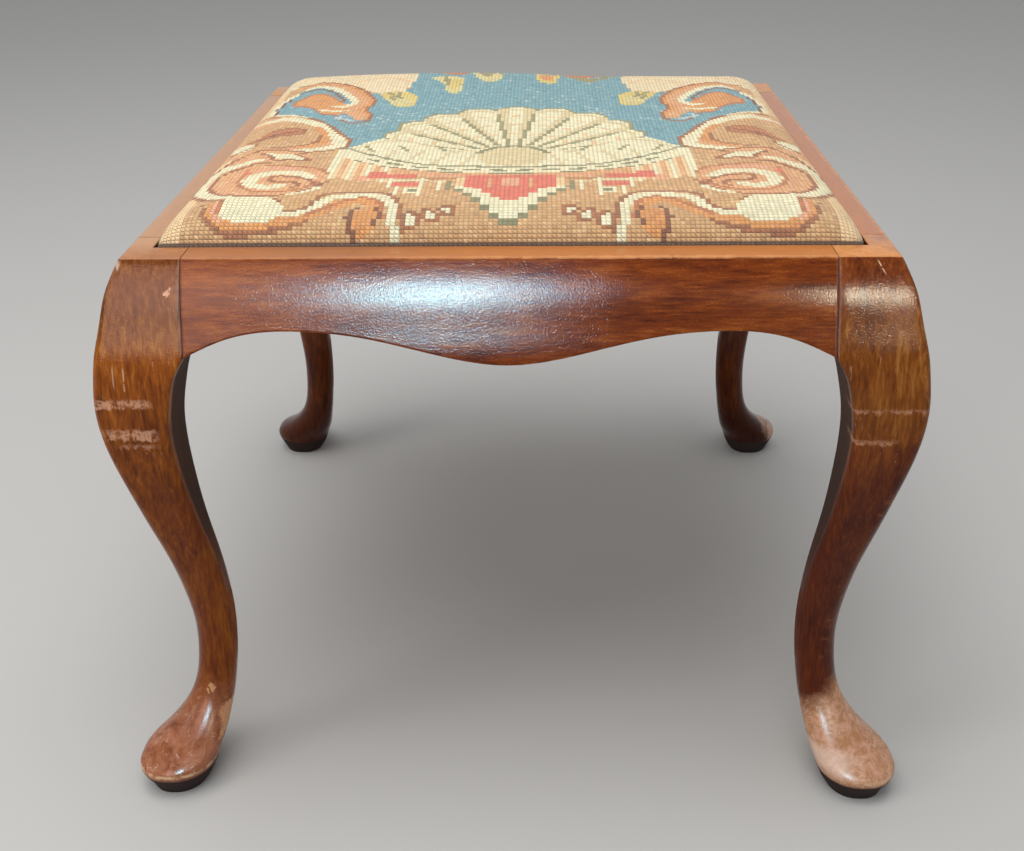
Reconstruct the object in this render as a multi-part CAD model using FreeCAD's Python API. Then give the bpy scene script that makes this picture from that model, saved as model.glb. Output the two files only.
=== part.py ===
import FreeCAD, Part
import math
import os

# A low stool with four cabriole legs, bowed aprons and a lift-out padded seat.
# Millimetres, Z up, floor at Z = 0, origin midway between the legs, front towards -Y.

# Frame
frame_width = 480.0
frame_depth = 475.0
frame_height = 404.0
side_border = 15.5
front_border = 20.0
rebate_depth = 16.0

# Legs
stile_size = 38.4
knee_reach = 22.0

# Aprons
rail_thickness = 25.0
rail_end_drop = 60.0
rail_arch_drop = 43.5
rail_centre_drop = 64.5

# Tenons
tenon_inset = 7.0
tenon_thickness = 8.0
tenon_top_drop = 20.0
tenon_height = 32.0
tenon_mitre_gap = 0.4

# Corner blocks and their screws
block_reach = 62.0
block_height = 24.0
block_drop = 1.5
block_clearance = 0.3
screw_seat = 17.0
screw_length = 30.0
screw_shank_radius = 2.1
screw_head_radius = 4.0
screw_head_height = 2.6
screw_point_length = 5.0
screw_slot_width = 1.2
screw_slot_depth = 1.1
screw_recess = 4.0

# Seat frame
seat_gap = 1.5
seat_corner_radius = 9.0
seat_rail_width = 48.0
seat_rail_thickness = 14.0
dowel_radius = 4.0
dowel_length = 40.0
dowel_edge = 14.0
dowel_spacing = 20.0

# Upholstery
cover_thickness = 1.6
hem_width = 27.0
roll_start = 2.0
crown_height = 16.0
roll_width = 26.0
webbing_width = 52.0
webbing_thickness = 1.2
webbing_edge = 7.0
webbing_slope = 14.0
hessian_thickness = 0.8
hessian_edge = 5.0
layer_clearance = 0.3
wadding_thickness = 2.8

# Tacks
tack_head_radius = 3.0
tack_head_height = 0.7
tack_shank_radius = 0.7
tack_length = 9.0
tack_point_length = 3.0
webbing_tack_edge = 14.0
cover_tack_edge = 18.0

# One named overrun for every cut
overrun = 5.0

# Counts
webbing_count = 3
tacks_per_webbing_end = 3
cover_tacks_per_side = 6

# The stile, from its top down to the apron's underside. Each row holds the drop as a share of
# rail_end_drop, the outer reach as a share of knee_reach, the inner face's place as a share of
# stile_size, and the rounding of the side corners and of the toe corner as shares of the girth.
stile_rows_shares = (
    (0.00, 0.00, 1.40, 0.020, 0.020),
    (0.34, 0.41, 1.36, 0.025, 0.030),
    (0.67, 0.64, 1.24, 0.030, 0.060),
    (1.00, 0.85, 1.00, 0.040, 0.080),
)

# The shank and foot below it, with the height as a share of the shank's height.
shank_rows_shares = (
    (0.959, 0.94, 0.80, 0.060, 0.10),
    (0.912, 1.00, 0.69, 0.080, 0.11),
    (0.854, 0.97, 0.61, 0.110, 0.12),
    (0.784, 0.82, 0.60, 0.150, 0.15),
    (0.702, 0.56, 0.65, 0.200, 0.20),
    (0.608, 0.24, 0.74, 0.270, 0.27),
    (0.515, -0.09, 0.86, 0.340, 0.34),
    (0.421, -0.34, 0.96, 0.410, 0.41),
    (0.339, -0.47, 1.00, 0.460, 0.46),
    (0.269, -0.45, 0.98, 0.480, 0.48),
    (0.210, -0.33, 0.93, 0.490, 0.47),
    (0.164, -0.07, 0.87, 0.490, 0.44),
    (0.123, 0.40, 0.80, 0.490, 0.42),
    (0.088, 1.03, 0.72, 0.490, 0.42),
    (0.058, 1.45, 0.62, 0.490, 0.42),
    (0.029, 1.28, 0.53, 0.490, 0.42),
    (0.000, 1.09, 0.38, 0.490, 0.43),
)

# The apron's lower edge, from the stile to the middle: place along the half run, and how far
# the edge has gone from the arch's top towards the end or the middle.
apron_end_shares = ((1.00, 1.00), (0.88, 0.35))
apron_middle_shares = ((0.43, 0.22), (0.24, 0.64))
apron_arch_share = 0.645

# The seat's roll: rise as a share of crown_height, and inset as a share of roll_width.
roll_shares = ((0.00, 0.00), (0.22, 0.03), (0.44, 0.12), (0.62, 0.30), (0.75, 0.58), (0.84, 1.00))
# The low crown inside it: rise as before, and place from the roll's inner edge to the middle.
crown_shares = ((0.84, 0.00), (0.92, 0.14), (0.98, 0.41), (1.00, 0.68))
# How much of each inset goes into rounding the ring's corners.
ring_rounding_share = 0.25

half_width = frame_width / 2
half_depth = frame_depth / 2
ledge_height = frame_height - rebate_depth
shank_height = frame_height - rail_end_drop
seat_half_width = half_width - side_border - seat_gap
seat_half_depth = half_depth - front_border - seat_gap
wood_half_width = seat_half_width - cover_thickness
wood_half_depth = seat_half_depth - cover_thickness
wood_corner_radius = seat_corner_radius - cover_thickness
wood_bottom = ledge_height + cover_thickness
wood_top = wood_bottom + seat_rail_thickness
opening_half_width = wood_half_width - seat_rail_width
opening_half_depth = wood_half_depth - seat_rail_width
screw_offset = block_reach - screw_seat
hessian_bottom = wood_top + 2 * webbing_thickness + layer_clearance
hessian_top = hessian_bottom + hessian_thickness
origin = FreeCAD.Vector(0, 0, 0)
up = FreeCAD.Vector(0, 0, 1)


def point(x, y, z=0):
    return FreeCAD.Vector(x, y, z)


def box(low, high):
    """A box from its low corner to its high corner."""
    size = [b - a for a, b in zip(low, high)]
    return Part.makeBox(*size, point(*low))


def prism(corners, direction):
    """A straight solid on a flat outline with straight sides."""
    return Part.Face(Part.makePolygon(corners + corners[:1])).extrude(direction)


def corner_arc(centre_x, centre_y, radius, quarter, z):
    """A quarter circle of a rounded outline. Quarters count round from the +X+Y corner."""
    start = quarter * math.pi / 2
    places = [start, start + math.pi / 4, start + math.pi / 2]
    ends = [point(centre_x + radius * math.cos(a), centre_y + radius * math.sin(a), z) for a in places]
    return Part.Arc(*ends)


def rounded_outline(low_x, low_y, high_x, high_y, radii, z):
    """A closed outline of four straight sides and four quarter circles."""
    corners = ((high_x, high_y, -1, -1), (low_x, high_y, 1, -1), (low_x, low_y, 1, 1), (high_x, low_y, -1, 1))
    arcs = []
    for quarter, (x, y, towards_x, towards_y) in enumerate(corners):
        radius = radii[quarter]
        arcs.append(corner_arc(x + towards_x * radius, y + towards_y * radius, radius, quarter, z))
    edges = []
    for quarter, arc in enumerate(arcs):
        following = arcs[(quarter + 1) % len(arcs)]
        edges.append(arc.toShape())
        edges.append(Part.LineSegment(arc.EndPoint, following.StartPoint).toShape())
    return Part.Wire(edges)


def rounded_rectangle(half_x, half_y, radius, z):
    return rounded_outline(-half_x, -half_y, half_x, half_y, [radius] * 4, z)


def four_corners(shape):
    """The shape of the +X+Y corner and its mirror images, by corner name."""
    right = {"back": shape, "front": shape.mirror(origin, point(0, 1))}
    shapes = {}
    for end, piece in right.items():
        shapes[end + "_right"] = piece
        shapes[end + "_left"] = piece.mirror(origin, point(1, 0))
    return shapes


def joined(shapes):
    """Several touching solids as one."""
    return shapes[0].multiFuse(shapes[1:]).removeSplitter()


def export(name, shape):
    if not shape.isValid():
        raise ValueError(name + " isn't a valid shape")
    shape.exportStep("parts/" + name + ".step")


# Legs
def leg_levels():
    """The leg's rows from top to floor: height, outer reach, inner face, and the two roundings."""
    levels = []
    for drop, reach, inner, side, toe in stile_rows_shares:
        levels.append((frame_height - drop * rail_end_drop, reach * knee_reach, inner * stile_size, side, toe))
    for rise, reach, inner, side, toe in shank_rows_shares:
        levels.append((rise * shank_height, reach * knee_reach, inner * stile_size, side, toe))
    return levels


def leg_section(z, reach, inner, side_round, toe_round):
    """The leg's outline at one height, in the +X+Y corner."""
    girth = reach + inner
    side = side_round * girth
    toe = toe_round * girth
    low_x = half_width - inner
    low_y = half_depth - inner
    return rounded_outline(low_x, low_y, low_x + girth, low_y + girth, (toe, side, toe, side), z)


def mortise(along_x):
    """The slot in the stile for one apron's tenon, open towards the apron."""
    far = tenon_inset
    near = tenon_inset + tenon_thickness
    top = frame_height - tenon_top_drop
    open_end = stile_size + overrun
    if along_x:
        low = (half_width - open_end, half_depth - near, top - tenon_height)
    else:
        low = (half_width - near, half_depth - open_end, top - tenon_height)
    return box(low, (half_width - far, half_depth - far, top))


def make_leg():
    """A cabriole leg with its square stile, notched for the seat and slotted for two tenons."""
    swept = Part.makeLoft([leg_section(*level) for level in leg_levels()], True)
    stile_low_x = half_width - stile_size
    stile_low_y = half_depth - stile_size
    reach = stile_size + 2 * knee_reach
    blank = box((stile_low_x, stile_low_y, 0), (stile_low_x + reach, stile_low_y + reach, frame_height))
    notch = box(
        (stile_low_x - overrun, stile_low_y - overrun, ledge_height),
        (half_width - side_border, half_depth - front_border, frame_height + overrun),
    )
    return swept.common(blank).cut(notch).cut(mortise(True)).cut(mortise(False))


# Aprons
def face_curve(setback):
    """The apron's outer face in section, the same swell as the legs beside it."""
    rows = [level for level in leg_levels() if level[0] > frame_height - 2 * rail_centre_drop]
    curve = Part.BSplineCurve()
    curve.interpolate([point(0, -setback - reach, z) for z, reach, inner, side, toe in rows])
    return curve


def apron_blank(run, setback):
    """The apron's full length, swelling outwards below its straight top edge."""
    curve = face_curve(setback).toShape()
    inner_y = -setback + rail_thickness
    top_outer = curve.Vertexes[0].Point
    bottom_outer = curve.Vertexes[-1].Point
    bottom_inner = point(0, inner_y, bottom_outer.z)
    top_inner = point(0, inner_y, top_outer.z)
    sides = [Part.makeLine(bottom_outer, bottom_inner)]
    sides.append(Part.makeLine(bottom_inner, top_inner))
    sides.append(Part.makeLine(top_inner, top_outer))
    blank = Part.Face(Part.Wire([curve] + sides)).extrude(point(2 * run, 0))
    blank.translate(point(-run, 0))
    return blank


def apron_edge_points(run):
    """Places along the apron's lower edge from its left end to its right end."""
    arch_z = frame_height - rail_arch_drop
    half = []
    for along, share in apron_end_shares:
        half.append((along * run, arch_z - share * (rail_end_drop - rail_arch_drop)))
    half.append((apron_arch_share * run, arch_z))
    for along, share in apron_middle_shares:
        half.append((along * run, arch_z - share * (rail_centre_drop - rail_arch_drop)))
    middle = [(0, frame_height - rail_centre_drop)]
    return [(-x, z) for x, z in half] + middle + half[::-1]


def under_apron(run, setback):
    """The space below the apron's shaped edge."""
    start_y = -setback - 2 * knee_reach
    places = [point(x, start_y, z) for x, z in apron_edge_points(run)]
    curve = Part.BSplineCurve()
    curve.interpolate(places)
    bottom = frame_height - 3 * rail_centre_drop
    low_right = point(places[-1].x + overrun, start_y, bottom)
    low_left = point(places[0].x - overrun, start_y, bottom)
    high_right = point(low_right.x, start_y, places[-1].z)
    high_left = point(low_left.x, start_y, places[0].z)
    around = [places[-1], high_right, low_right, low_left, high_left, places[0]]
    edges = [Part.makeLine(a, b) for a, b in zip(around, around[1:])]
    outline = Part.Wire([curve.toShape()] + edges)
    return Part.Face(outline).extrude(point(0, 2 * knee_reach + rail_thickness + overrun))


def tenon(run, setback):
    """The apron's right-hand tenon, mitred where it meets its neighbour inside the stile."""
    outer_y = -setback + tenon_inset
    inner_y = outer_y + tenon_thickness
    bottom = frame_height - tenon_top_drop - tenon_height
    tip = run + stile_size - tenon_inset - tenon_mitre_gap
    plan = [point(run, outer_y, bottom), point(tip, outer_y, bottom)]
    plan.append(point(tip - tenon_thickness, inner_y, bottom))
    plan.append(point(run, inner_y, bottom))
    return prism(plan, point(0, 0, tenon_height))


def make_apron(run, setback, border):
    """One apron in the front's place: bowed, shaped below, rebated for the seat, tenoned."""
    right = tenon(run, setback)
    rebate = box(
        (-run - overrun, -setback + border, ledge_height),
        (run + overrun, -setback + rail_thickness + overrun, frame_height + overrun),
    )
    body = apron_blank(run, setback).cut(under_apron(run, setback)).cut(rebate)
    apron = joined([body, right, right.mirror(origin, point(1, 0))])
    for hole in apron_screw_holes(run, setback):
        apron = apron.cut(hole)
    return apron


def turned(shape, angle):
    """A copy of the shape turned about the stool's middle."""
    copy = shape.copy()
    copy.rotate(origin, up, angle)
    return copy


# Corner blocks and screws
def block_screw_height():
    return ledge_height - block_drop - block_height / 2


def screw(grow=0):
    """A slotted countersunk screw pointing along +Y, its head's flat at the origin."""
    profile = [
        point(0, 0),
        point(screw_head_radius + grow, 0),
        point(screw_shank_radius + grow, screw_head_height),
        point(screw_shank_radius + grow, screw_length - screw_point_length),
        point(0, screw_length),
    ]
    face = Part.Face(Part.makePolygon(profile + profile[:1]))
    return face.revolve(origin, point(0, 1), 360)


def slotted_screw():
    slot = box(
        (-screw_head_radius - overrun, -overrun, -screw_slot_width / 2),
        (screw_head_radius + overrun, screw_slot_depth, screw_slot_width / 2),
    )
    return screw().cut(slot)


def screw_place(shape):
    """The screw of the +X+Y corner that goes through the block into the back apron."""
    inner_x = half_width - rail_thickness
    inner_y = half_depth - rail_thickness
    head_y = inner_y - screw_seat + screw_recess
    placed = shape.copy()
    placed.translate(point(inner_x - screw_offset, head_y, block_screw_height()))
    return placed


def screw_place_sideways(shape):
    """The screw of the +X+Y corner that goes through the block into the right apron."""
    inner_x = half_width - rail_thickness
    inner_y = half_depth - rail_thickness
    head_x = inner_x - screw_seat + screw_recess
    placed = turned(shape, -90)
    placed.translate(point(head_x, inner_y - screw_offset, block_screw_height()))
    return placed


def apron_screw_holes(run, setback):
    """The two pilot holes in an apron in the front's place."""
    inner_y = -setback + rail_thickness
    head_y = inner_y + screw_seat - screw_recess
    along = run + stile_size - rail_thickness - screw_offset
    hole = turned(screw(), 180)
    hole.translate(point(along, head_y, block_screw_height()))
    return [hole, hole.mirror(origin, point(1, 0))]


def make_block():
    """The glue block of the +X+Y corner, notched round the stile and bored for two screws."""
    rail_x = half_width - rail_thickness
    rail_y = half_depth - rail_thickness
    stile_x = half_width - stile_size - block_clearance
    stile_y = half_depth - stile_size - block_clearance
    bottom = ledge_height - block_drop - block_height
    plan = [
        point(stile_x, rail_y, bottom),
        point(rail_x - block_reach, rail_y, bottom),
        point(rail_x, rail_y - block_reach, bottom),
        point(rail_x, stile_y, bottom),
        point(stile_x, stile_y, bottom),
    ]
    block = prism(plan, point(0, 0, block_height))
    access_radius = screw_head_radius + layer_clearance
    access = Part.makeCylinder(access_radius, screw_recess + overrun, origin, point(0, -1))
    for place in (screw_place, screw_place_sideways):
        block = block.cut(place(access)).cut(place(screw()))
    return block


def make_screws():
    pair = Part.makeCompound([screw_place(slotted_screw()), screw_place_sideways(slotted_screw())])
    return Part.makeCompound(list(four_corners(pair).values()))


# Seat frame
def seat_blank():
    outline = rounded_rectangle(wood_half_width, wood_half_depth, wood_corner_radius, wood_bottom)
    return Part.Face(outline).extrude(point(0, 0, seat_rail_thickness))


def dowel_places():
    """Each dowel's middle, on the joints between the long and the short seat rails."""
    first = wood_half_width - dowel_edge
    places = []
    for side in (-1, 1):
        for end in (-1, 1):
            for x in (first, first - dowel_spacing):
                places.append(point(side * x, end * opening_half_depth, wood_bottom + seat_rail_thickness / 2))
    return places


def make_dowels():
    back = point(0, dowel_length / 2)
    dowels = [Part.makeCylinder(dowel_radius, dowel_length, place - back, point(0, 1)) for place in dowel_places()]
    return Part.makeCompound(dowels)


def seat_rails():
    """The four seat rails by name, bored for the dowels and the tacks."""
    blank = seat_blank()
    outer_x = wood_half_width + overrun
    outer_y = wood_half_depth + overrun
    low = wood_bottom - overrun
    high = wood_top + overrun
    parts = {
        "front": box((-outer_x, -outer_y, low), (outer_x, -opening_half_depth, high)),
        "back": box((-outer_x, opening_half_depth, low), (outer_x, outer_y, high)),
        "left": box((-outer_x, -opening_half_depth, low), (-opening_half_width, opening_half_depth, high)),
        "right": box((opening_half_width, -opening_half_depth, low), (outer_x, opening_half_depth, high)),
    }
    bores = Part.makeCompound([make_dowels(), make_webbing_tacks(), make_cover_tacks()])
    return {name: blank.common(part).cut(bores) for name, part in parts.items()}


# Webbing
def webbing_centres(half_opening):
    """The middles of the straps across an opening, evenly shared out."""
    step = 2 * half_opening / webbing_count
    first = -half_opening + step / 2
    return [first + step * i for i in range(webbing_count)]


def long_strap(index):
    """A flat strap from the left seat rail to the right one."""
    y = webbing_centres(opening_half_depth)[index]
    half = wood_half_width - webbing_edge
    low = (-half, y - webbing_width / 2, wood_top)
    return box(low, (half, y + webbing_width / 2, wood_top + webbing_thickness))


def cross_strap_levels(index):
    """Where the strap's underside runs, from front to back: over and under the long straps."""
    half = wood_half_depth - webbing_edge
    reach = webbing_width / 2 + layer_clearance
    places = [(-half, wood_top)]
    for number, y in enumerate(webbing_centres(opening_half_depth)):
        over = (number + index) % 2 == 0
        level = wood_top + webbing_thickness if over else wood_top - webbing_thickness
        places.append((y - reach, level))
        places.append((y + reach, level))
    places.append((half, wood_top))
    return with_slopes(places)


def with_slopes(places):
    """Adds the level stretches that leave each slope its own length."""
    route = [places[0]]
    first_y, first_z = places[0]
    last_y, last_z = places[-1]
    route.append((places[1][0] - webbing_slope, first_z))
    route.extend(places[1:-1])
    route.append((places[-2][0] + webbing_slope, last_z))
    route.append((last_y, last_z))
    return route


def cross_strap(index):
    """A strap from the front seat rail to the back one, woven through the long straps."""
    x = webbing_centres(opening_half_width)[index] - webbing_width / 2
    lower = [point(x, y, z) for y, z in cross_strap_levels(index)]
    upper = [p + point(0, 0, webbing_thickness) for p in reversed(lower)]
    return prism(lower + upper, point(webbing_width, 0))


def make_straps():
    straps = {}
    tacks = make_webbing_tacks()
    for index in range(webbing_count):
        straps["webbing_long_%d" % (index + 1)] = long_strap(index).cut(tacks)
        straps["webbing_cross_%d" % (index + 1)] = cross_strap(index).cut(tacks)
    return straps


# Tacks
def tack(place, down=True):
    """An upholstery tack with its flat head's underside at the place."""
    way = -1 if down else 1
    profile = [
        point(0, 0, -way * tack_head_height),
        point(tack_head_radius, 0, -way * tack_head_height),
        point(tack_head_radius, 0, 0),
        point(tack_shank_radius, 0, 0),
        point(tack_shank_radius, 0, way * (tack_length - tack_point_length)),
        point(0, 0, way * tack_length),
    ]
    face = Part.Face(Part.makePolygon(profile + profile[:1]))
    solid = face.revolve(origin, up, 360)
    if solid.Volume < 0:
        solid.reverse()
    solid.translate(place)
    return solid


def make_webbing_tacks():
    """Three tacks through each end of each strap."""
    tacks = []
    z = wood_top + webbing_thickness
    step = webbing_width / tacks_per_webbing_end
    offsets = [step * (i - (tacks_per_webbing_end - 1) / 2) for i in range(tacks_per_webbing_end)]
    for end in (-1, 1):
        for y in webbing_centres(opening_half_depth):
            tacks += [tack(point(end * (wood_half_width - webbing_tack_edge), y + o, z)) for o in offsets]
        for x in webbing_centres(opening_half_width):
            tacks += [tack(point(x + o, end * (wood_half_depth - webbing_tack_edge), z)) for o in offsets]
    return Part.makeCompound(tacks)


def side_places(half):
    """Evenly spread places along one side, clear of the dowels."""
    reach = half - seat_rail_width - dowel_length / 2 - tack_head_radius
    step = 2 * reach / (cover_tacks_per_side - 1)
    return [-reach + step * i for i in range(cover_tacks_per_side)]


def make_cover_tacks():
    """The tacks that hold the cover's turned hem under the seat frame."""
    tacks = []
    for end in (-1, 1):
        for x in side_places(wood_half_width):
            tacks.append(tack(point(x, end * (wood_half_depth - cover_tack_edge), ledge_height), down=False))
        for y in side_places(wood_half_depth):
            tacks.append(tack(point(end * (wood_half_width - cover_tack_edge), y, ledge_height), down=False))
    return Part.makeCompound(tacks)


# Stuffing and cover
def seat_form(inset, bottom):
    """The seat's crowned form, drawn in by an inset: straight sides, a roll and a low crown."""
    half_x = seat_half_width - inset
    half_y = seat_half_depth - inset
    radius = seat_corner_radius - inset
    shoulder = frame_height + roll_start - inset

    crown_reach = min(half_x, half_y) - roll_width

    def ring(rise, drawn):
        height = shoulder + rise * crown_height
        return rounded_rectangle(half_x - drawn, half_y - drawn, radius + ring_rounding_share * drawn, height)

    outline = Part.Face(rounded_rectangle(half_x, half_y, radius, bottom))
    straight = outline.extrude(point(0, 0, shoulder - bottom))
    roll = Part.makeLoft([ring(rise, share * roll_width) for rise, share in roll_shares], True)
    crown_rings = [ring(rise, roll_width + share * crown_reach) for rise, share in crown_shares]
    crown = Part.makeLoft(crown_rings, True, True)
    return joined([straight, roll, crown])


def make_cover():
    """The needlework cover: over the crown, down the sides and turned under the seat frame."""
    cover = seat_form(0, ledge_height).cut(seat_form(cover_thickness, wood_bottom))
    window_x = seat_half_width - hem_width
    window_y = seat_half_depth - hem_width
    window = box((-window_x, -window_y, ledge_height - overrun), (window_x, window_y, wood_bottom + cover_thickness))
    return cover.cut(window).cut(make_cover_tacks())


def above_hessian(shape):
    """The part of a stuffing form that lies on the hessian."""
    reach_x = seat_half_width + overrun
    reach_y = seat_half_depth + overrun
    return shape.cut(box((-reach_x, -reach_y, ledge_height - overrun), (reach_x, reach_y, hessian_top)))


def make_wadding():
    """The soft layer between the stuffing and the cover."""
    outer_inset = cover_thickness + layer_clearance
    inner_inset = outer_inset + wadding_thickness
    return above_hessian(seat_form(outer_inset, wood_bottom).cut(seat_form(inner_inset, wood_bottom)))


def make_stuffing():
    """The stuffing pad under the wadding."""
    return above_hessian(seat_form(cover_thickness + wadding_thickness + 2 * layer_clearance, wood_bottom))


def make_hessian():
    """The sheet that lies on the webbing and carries the stuffing."""
    half_x = wood_half_width - hessian_edge
    half_y = wood_half_depth - hessian_edge
    return box((-half_x, -half_y, hessian_bottom), (half_x, half_y, hessian_top))


def main():
    os.makedirs("parts", exist_ok=True)
    for corner, leg in four_corners(make_leg()).items():
        export("leg_" + corner, leg)
    front = make_apron(half_width - stile_size, half_depth, front_border)
    side = make_apron(half_depth - stile_size, half_width, side_border)
    export("apron_front", front)
    export("apron_back", turned(front, 180))
    export("apron_right", turned(side, 90))
    export("apron_left", turned(side, -90))
    for corner, block in four_corners(make_block()).items():
        export("corner_block_" + corner, block)
    export("corner_block_screws", make_screws())
    for name, rail in seat_rails().items():
        export("seat_rail_" + name, rail)
    export("seat_dowels", make_dowels())
    for name, strap in make_straps().items():
        export(name, strap)
    export("webbing_tacks", make_webbing_tacks())
    export("hessian", make_hessian())
    export("stuffing", make_stuffing())
    export("wadding", make_wadding())
    export("seat_cover", make_cover())
    export("cover_tacks", make_cover_tacks())


main()
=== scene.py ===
"""A low stool with four cabriole legs and a needlework seat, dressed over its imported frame."""

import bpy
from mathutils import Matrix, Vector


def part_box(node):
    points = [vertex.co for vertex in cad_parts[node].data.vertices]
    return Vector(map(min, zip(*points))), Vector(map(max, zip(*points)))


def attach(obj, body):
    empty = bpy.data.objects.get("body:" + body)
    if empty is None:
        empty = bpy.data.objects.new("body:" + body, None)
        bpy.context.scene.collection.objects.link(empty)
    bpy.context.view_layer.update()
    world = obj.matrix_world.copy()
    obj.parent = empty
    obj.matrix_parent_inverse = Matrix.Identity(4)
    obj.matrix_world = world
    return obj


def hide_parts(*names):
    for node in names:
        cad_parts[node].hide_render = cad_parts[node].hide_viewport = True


bl_info = {
    "name": "Upholstered Stool",
    "version": (1, 0, 0),
    "blender": (4, 5, 0),
    "location": "3D View > Sidebar > Stool",
    "description": "Builds a varnished stool with a needlework seat around its packed frame",
    "category": "Object",
}

import math

import bmesh
import bpy
import numpy as np
from bpy.props import FloatProperty, FloatVectorProperty, IntProperty, PointerProperty
from mathutils import Matrix, Vector, noise

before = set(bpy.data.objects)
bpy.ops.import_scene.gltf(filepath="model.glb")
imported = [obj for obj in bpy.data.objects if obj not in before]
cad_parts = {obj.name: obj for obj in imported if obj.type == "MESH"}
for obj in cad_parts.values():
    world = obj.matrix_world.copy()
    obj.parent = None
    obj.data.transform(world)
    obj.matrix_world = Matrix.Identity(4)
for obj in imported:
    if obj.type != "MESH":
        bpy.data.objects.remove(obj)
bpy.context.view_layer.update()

# The frame's own measures, in metres.
STILE_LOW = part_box("leg_back_right")[0]
FRONT_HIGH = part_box("apron_front")[1]
COVER_LOW, COVER_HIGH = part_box("seat_cover")
FRAME_TOP = FRONT_HIGH.z
LEDGE = COVER_LOW.z
HALF_WIDTH = 0.240
HALF_DEPTH = 0.2375
STILE = HALF_WIDTH - STILE_LOW.x
SIDE_BORDER = 0.0155
FRONT_BORDER = 0.020
RAIL_THICKNESS = HALF_DEPTH + FRONT_HIGH.y
JOINT_GROOVE = 0.0003
LEAST_ROUNDING = 0.0012
POINT_STEP = 0.002

# One leg from its top to the floor: height, reach outside the frame, depth inside it, and the
# rounding of the side corners and of the toe as shares of the girth.
LEG_ROWS = (
    (0.4040, 0.00000, 0.05376, 0.020, 0.020),
    (0.3836, 0.00902, 0.05222, 0.025, 0.030),
    (0.3638, 0.01408, 0.04762, 0.030, 0.060),
    (0.3440, 0.01870, 0.03840, 0.040, 0.080),
    (0.3299, 0.02068, 0.03072, 0.060, 0.100),
    (0.3137, 0.02200, 0.02650, 0.080, 0.110),
    (0.2938, 0.02134, 0.02342, 0.110, 0.120),
    (0.2697, 0.01804, 0.02304, 0.150, 0.150),
    (0.2415, 0.01232, 0.02496, 0.200, 0.200),
    (0.2092, 0.00528, 0.02842, 0.270, 0.270),
    (0.1772, -0.00198, 0.03302, 0.340, 0.340),
    (0.1448, -0.00748, 0.03686, 0.410, 0.410),
    (0.1166, -0.01034, 0.03840, 0.460, 0.460),
    (0.0925, -0.00990, 0.03763, 0.480, 0.480),
    (0.0722, -0.00726, 0.03571, 0.490, 0.470),
    (0.0564, -0.00154, 0.03341, 0.490, 0.440),
    (0.0423, 0.00880, 0.03072, 0.490, 0.420),
    (0.0303, 0.02266, 0.02765, 0.490, 0.420),
    (0.0200, 0.03190, 0.02381, 0.490, 0.420),
    (0.0100, 0.02816, 0.02035, 0.490, 0.420),
    (0.0000, 0.02398, 0.01459, 0.490, 0.430),
)

# The aprons' lower edge from the stile to the middle: place along the half run, and height.
EDGE_MIDDLE = 0.3395
EDGE_ROWS = ((1.0, 0.3440), (0.88, 0.35473), (0.645, 0.3605), (0.43, 0.35588), (0.24, 0.34706))


# Small helpers for shapes
def srgb(red, green, blue):
    """A colour written in screen values from 0 to 255, as the linear values Blender keeps."""
    def linear(c):
        c /= 255
        return c / 12.92 if c <= 0.04045 else ((c + 0.055) / 1.055) ** 2.4
    return (linear(red), linear(green), linear(blue), 1.0)


def smooth_through(points, count):
    """A smooth line through the points, as count points spread evenly over its chords."""
    points = np.array(points, float)
    steps = np.linalg.norm(np.diff(points[:, :3], axis=0), axis=1)
    knots = np.concatenate(([0.0], np.cumsum(steps)))
    size = len(points)
    left, right = np.eye(size), np.zeros(points.shape)
    for i in range(1, size - 1):
        left[i, i - 1:i + 2] = steps[i - 1], 2 * (steps[i - 1] + steps[i]), steps[i]
        right[i] = 6 * ((points[i + 1] - points[i]) / steps[i] - (points[i] - points[i - 1]) / steps[i - 1])
    bend = np.linalg.solve(left, right)
    place = np.linspace(0, knots[-1], count)
    at = np.clip(np.searchsorted(knots, place, side="right") - 1, 0, size - 2)
    step = steps[at][:, None]
    before = (place - knots[at])[:, None]
    after = step - before
    return (
        (bend[at] * after**3 + bend[at + 1] * before**3) / (6 * step)
        + (points[at] / step - bend[at] * step / 6) * after
        + (points[at + 1] / step - bend[at + 1] * step / 6) * before
    )


LEG_STEPS = 500
EDGE_STEPS = 241
LEG_LINE = smooth_through(LEG_ROWS, LEG_STEPS)[::-1]
EDGE_LINE = smooth_through([(-x, z) for x, z in EDGE_ROWS] + [(0, EDGE_MIDDLE), *EDGE_ROWS[::-1]], EDGE_STEPS)


def leg_at(height):
    """Reach, depth and the two roundings of the leg at a height."""
    return [np.interp(height, LEG_LINE[:, 0], LEG_LINE[:, column]) for column in range(1, 5)]


def edge_height(share):
    """The apron's lower edge at a place from -1 to 1 along its run."""
    return np.interp(share, EDGE_LINE[:, 0], EDGE_LINE[:, 1])


def extruded(bm, edges):
    """Extrudes a line of edges, and gives the new points and the edges between them."""
    made = bmesh.ops.extrude_edge_only(bm, edges=edges)["geom"]
    verts = [item for item in made if isinstance(item, bmesh.types.BMVert)]
    fresh = set(verts)
    return verts, [item for item in made if isinstance(item, bmesh.types.BMEdge) and set(item.verts) <= fresh]


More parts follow.
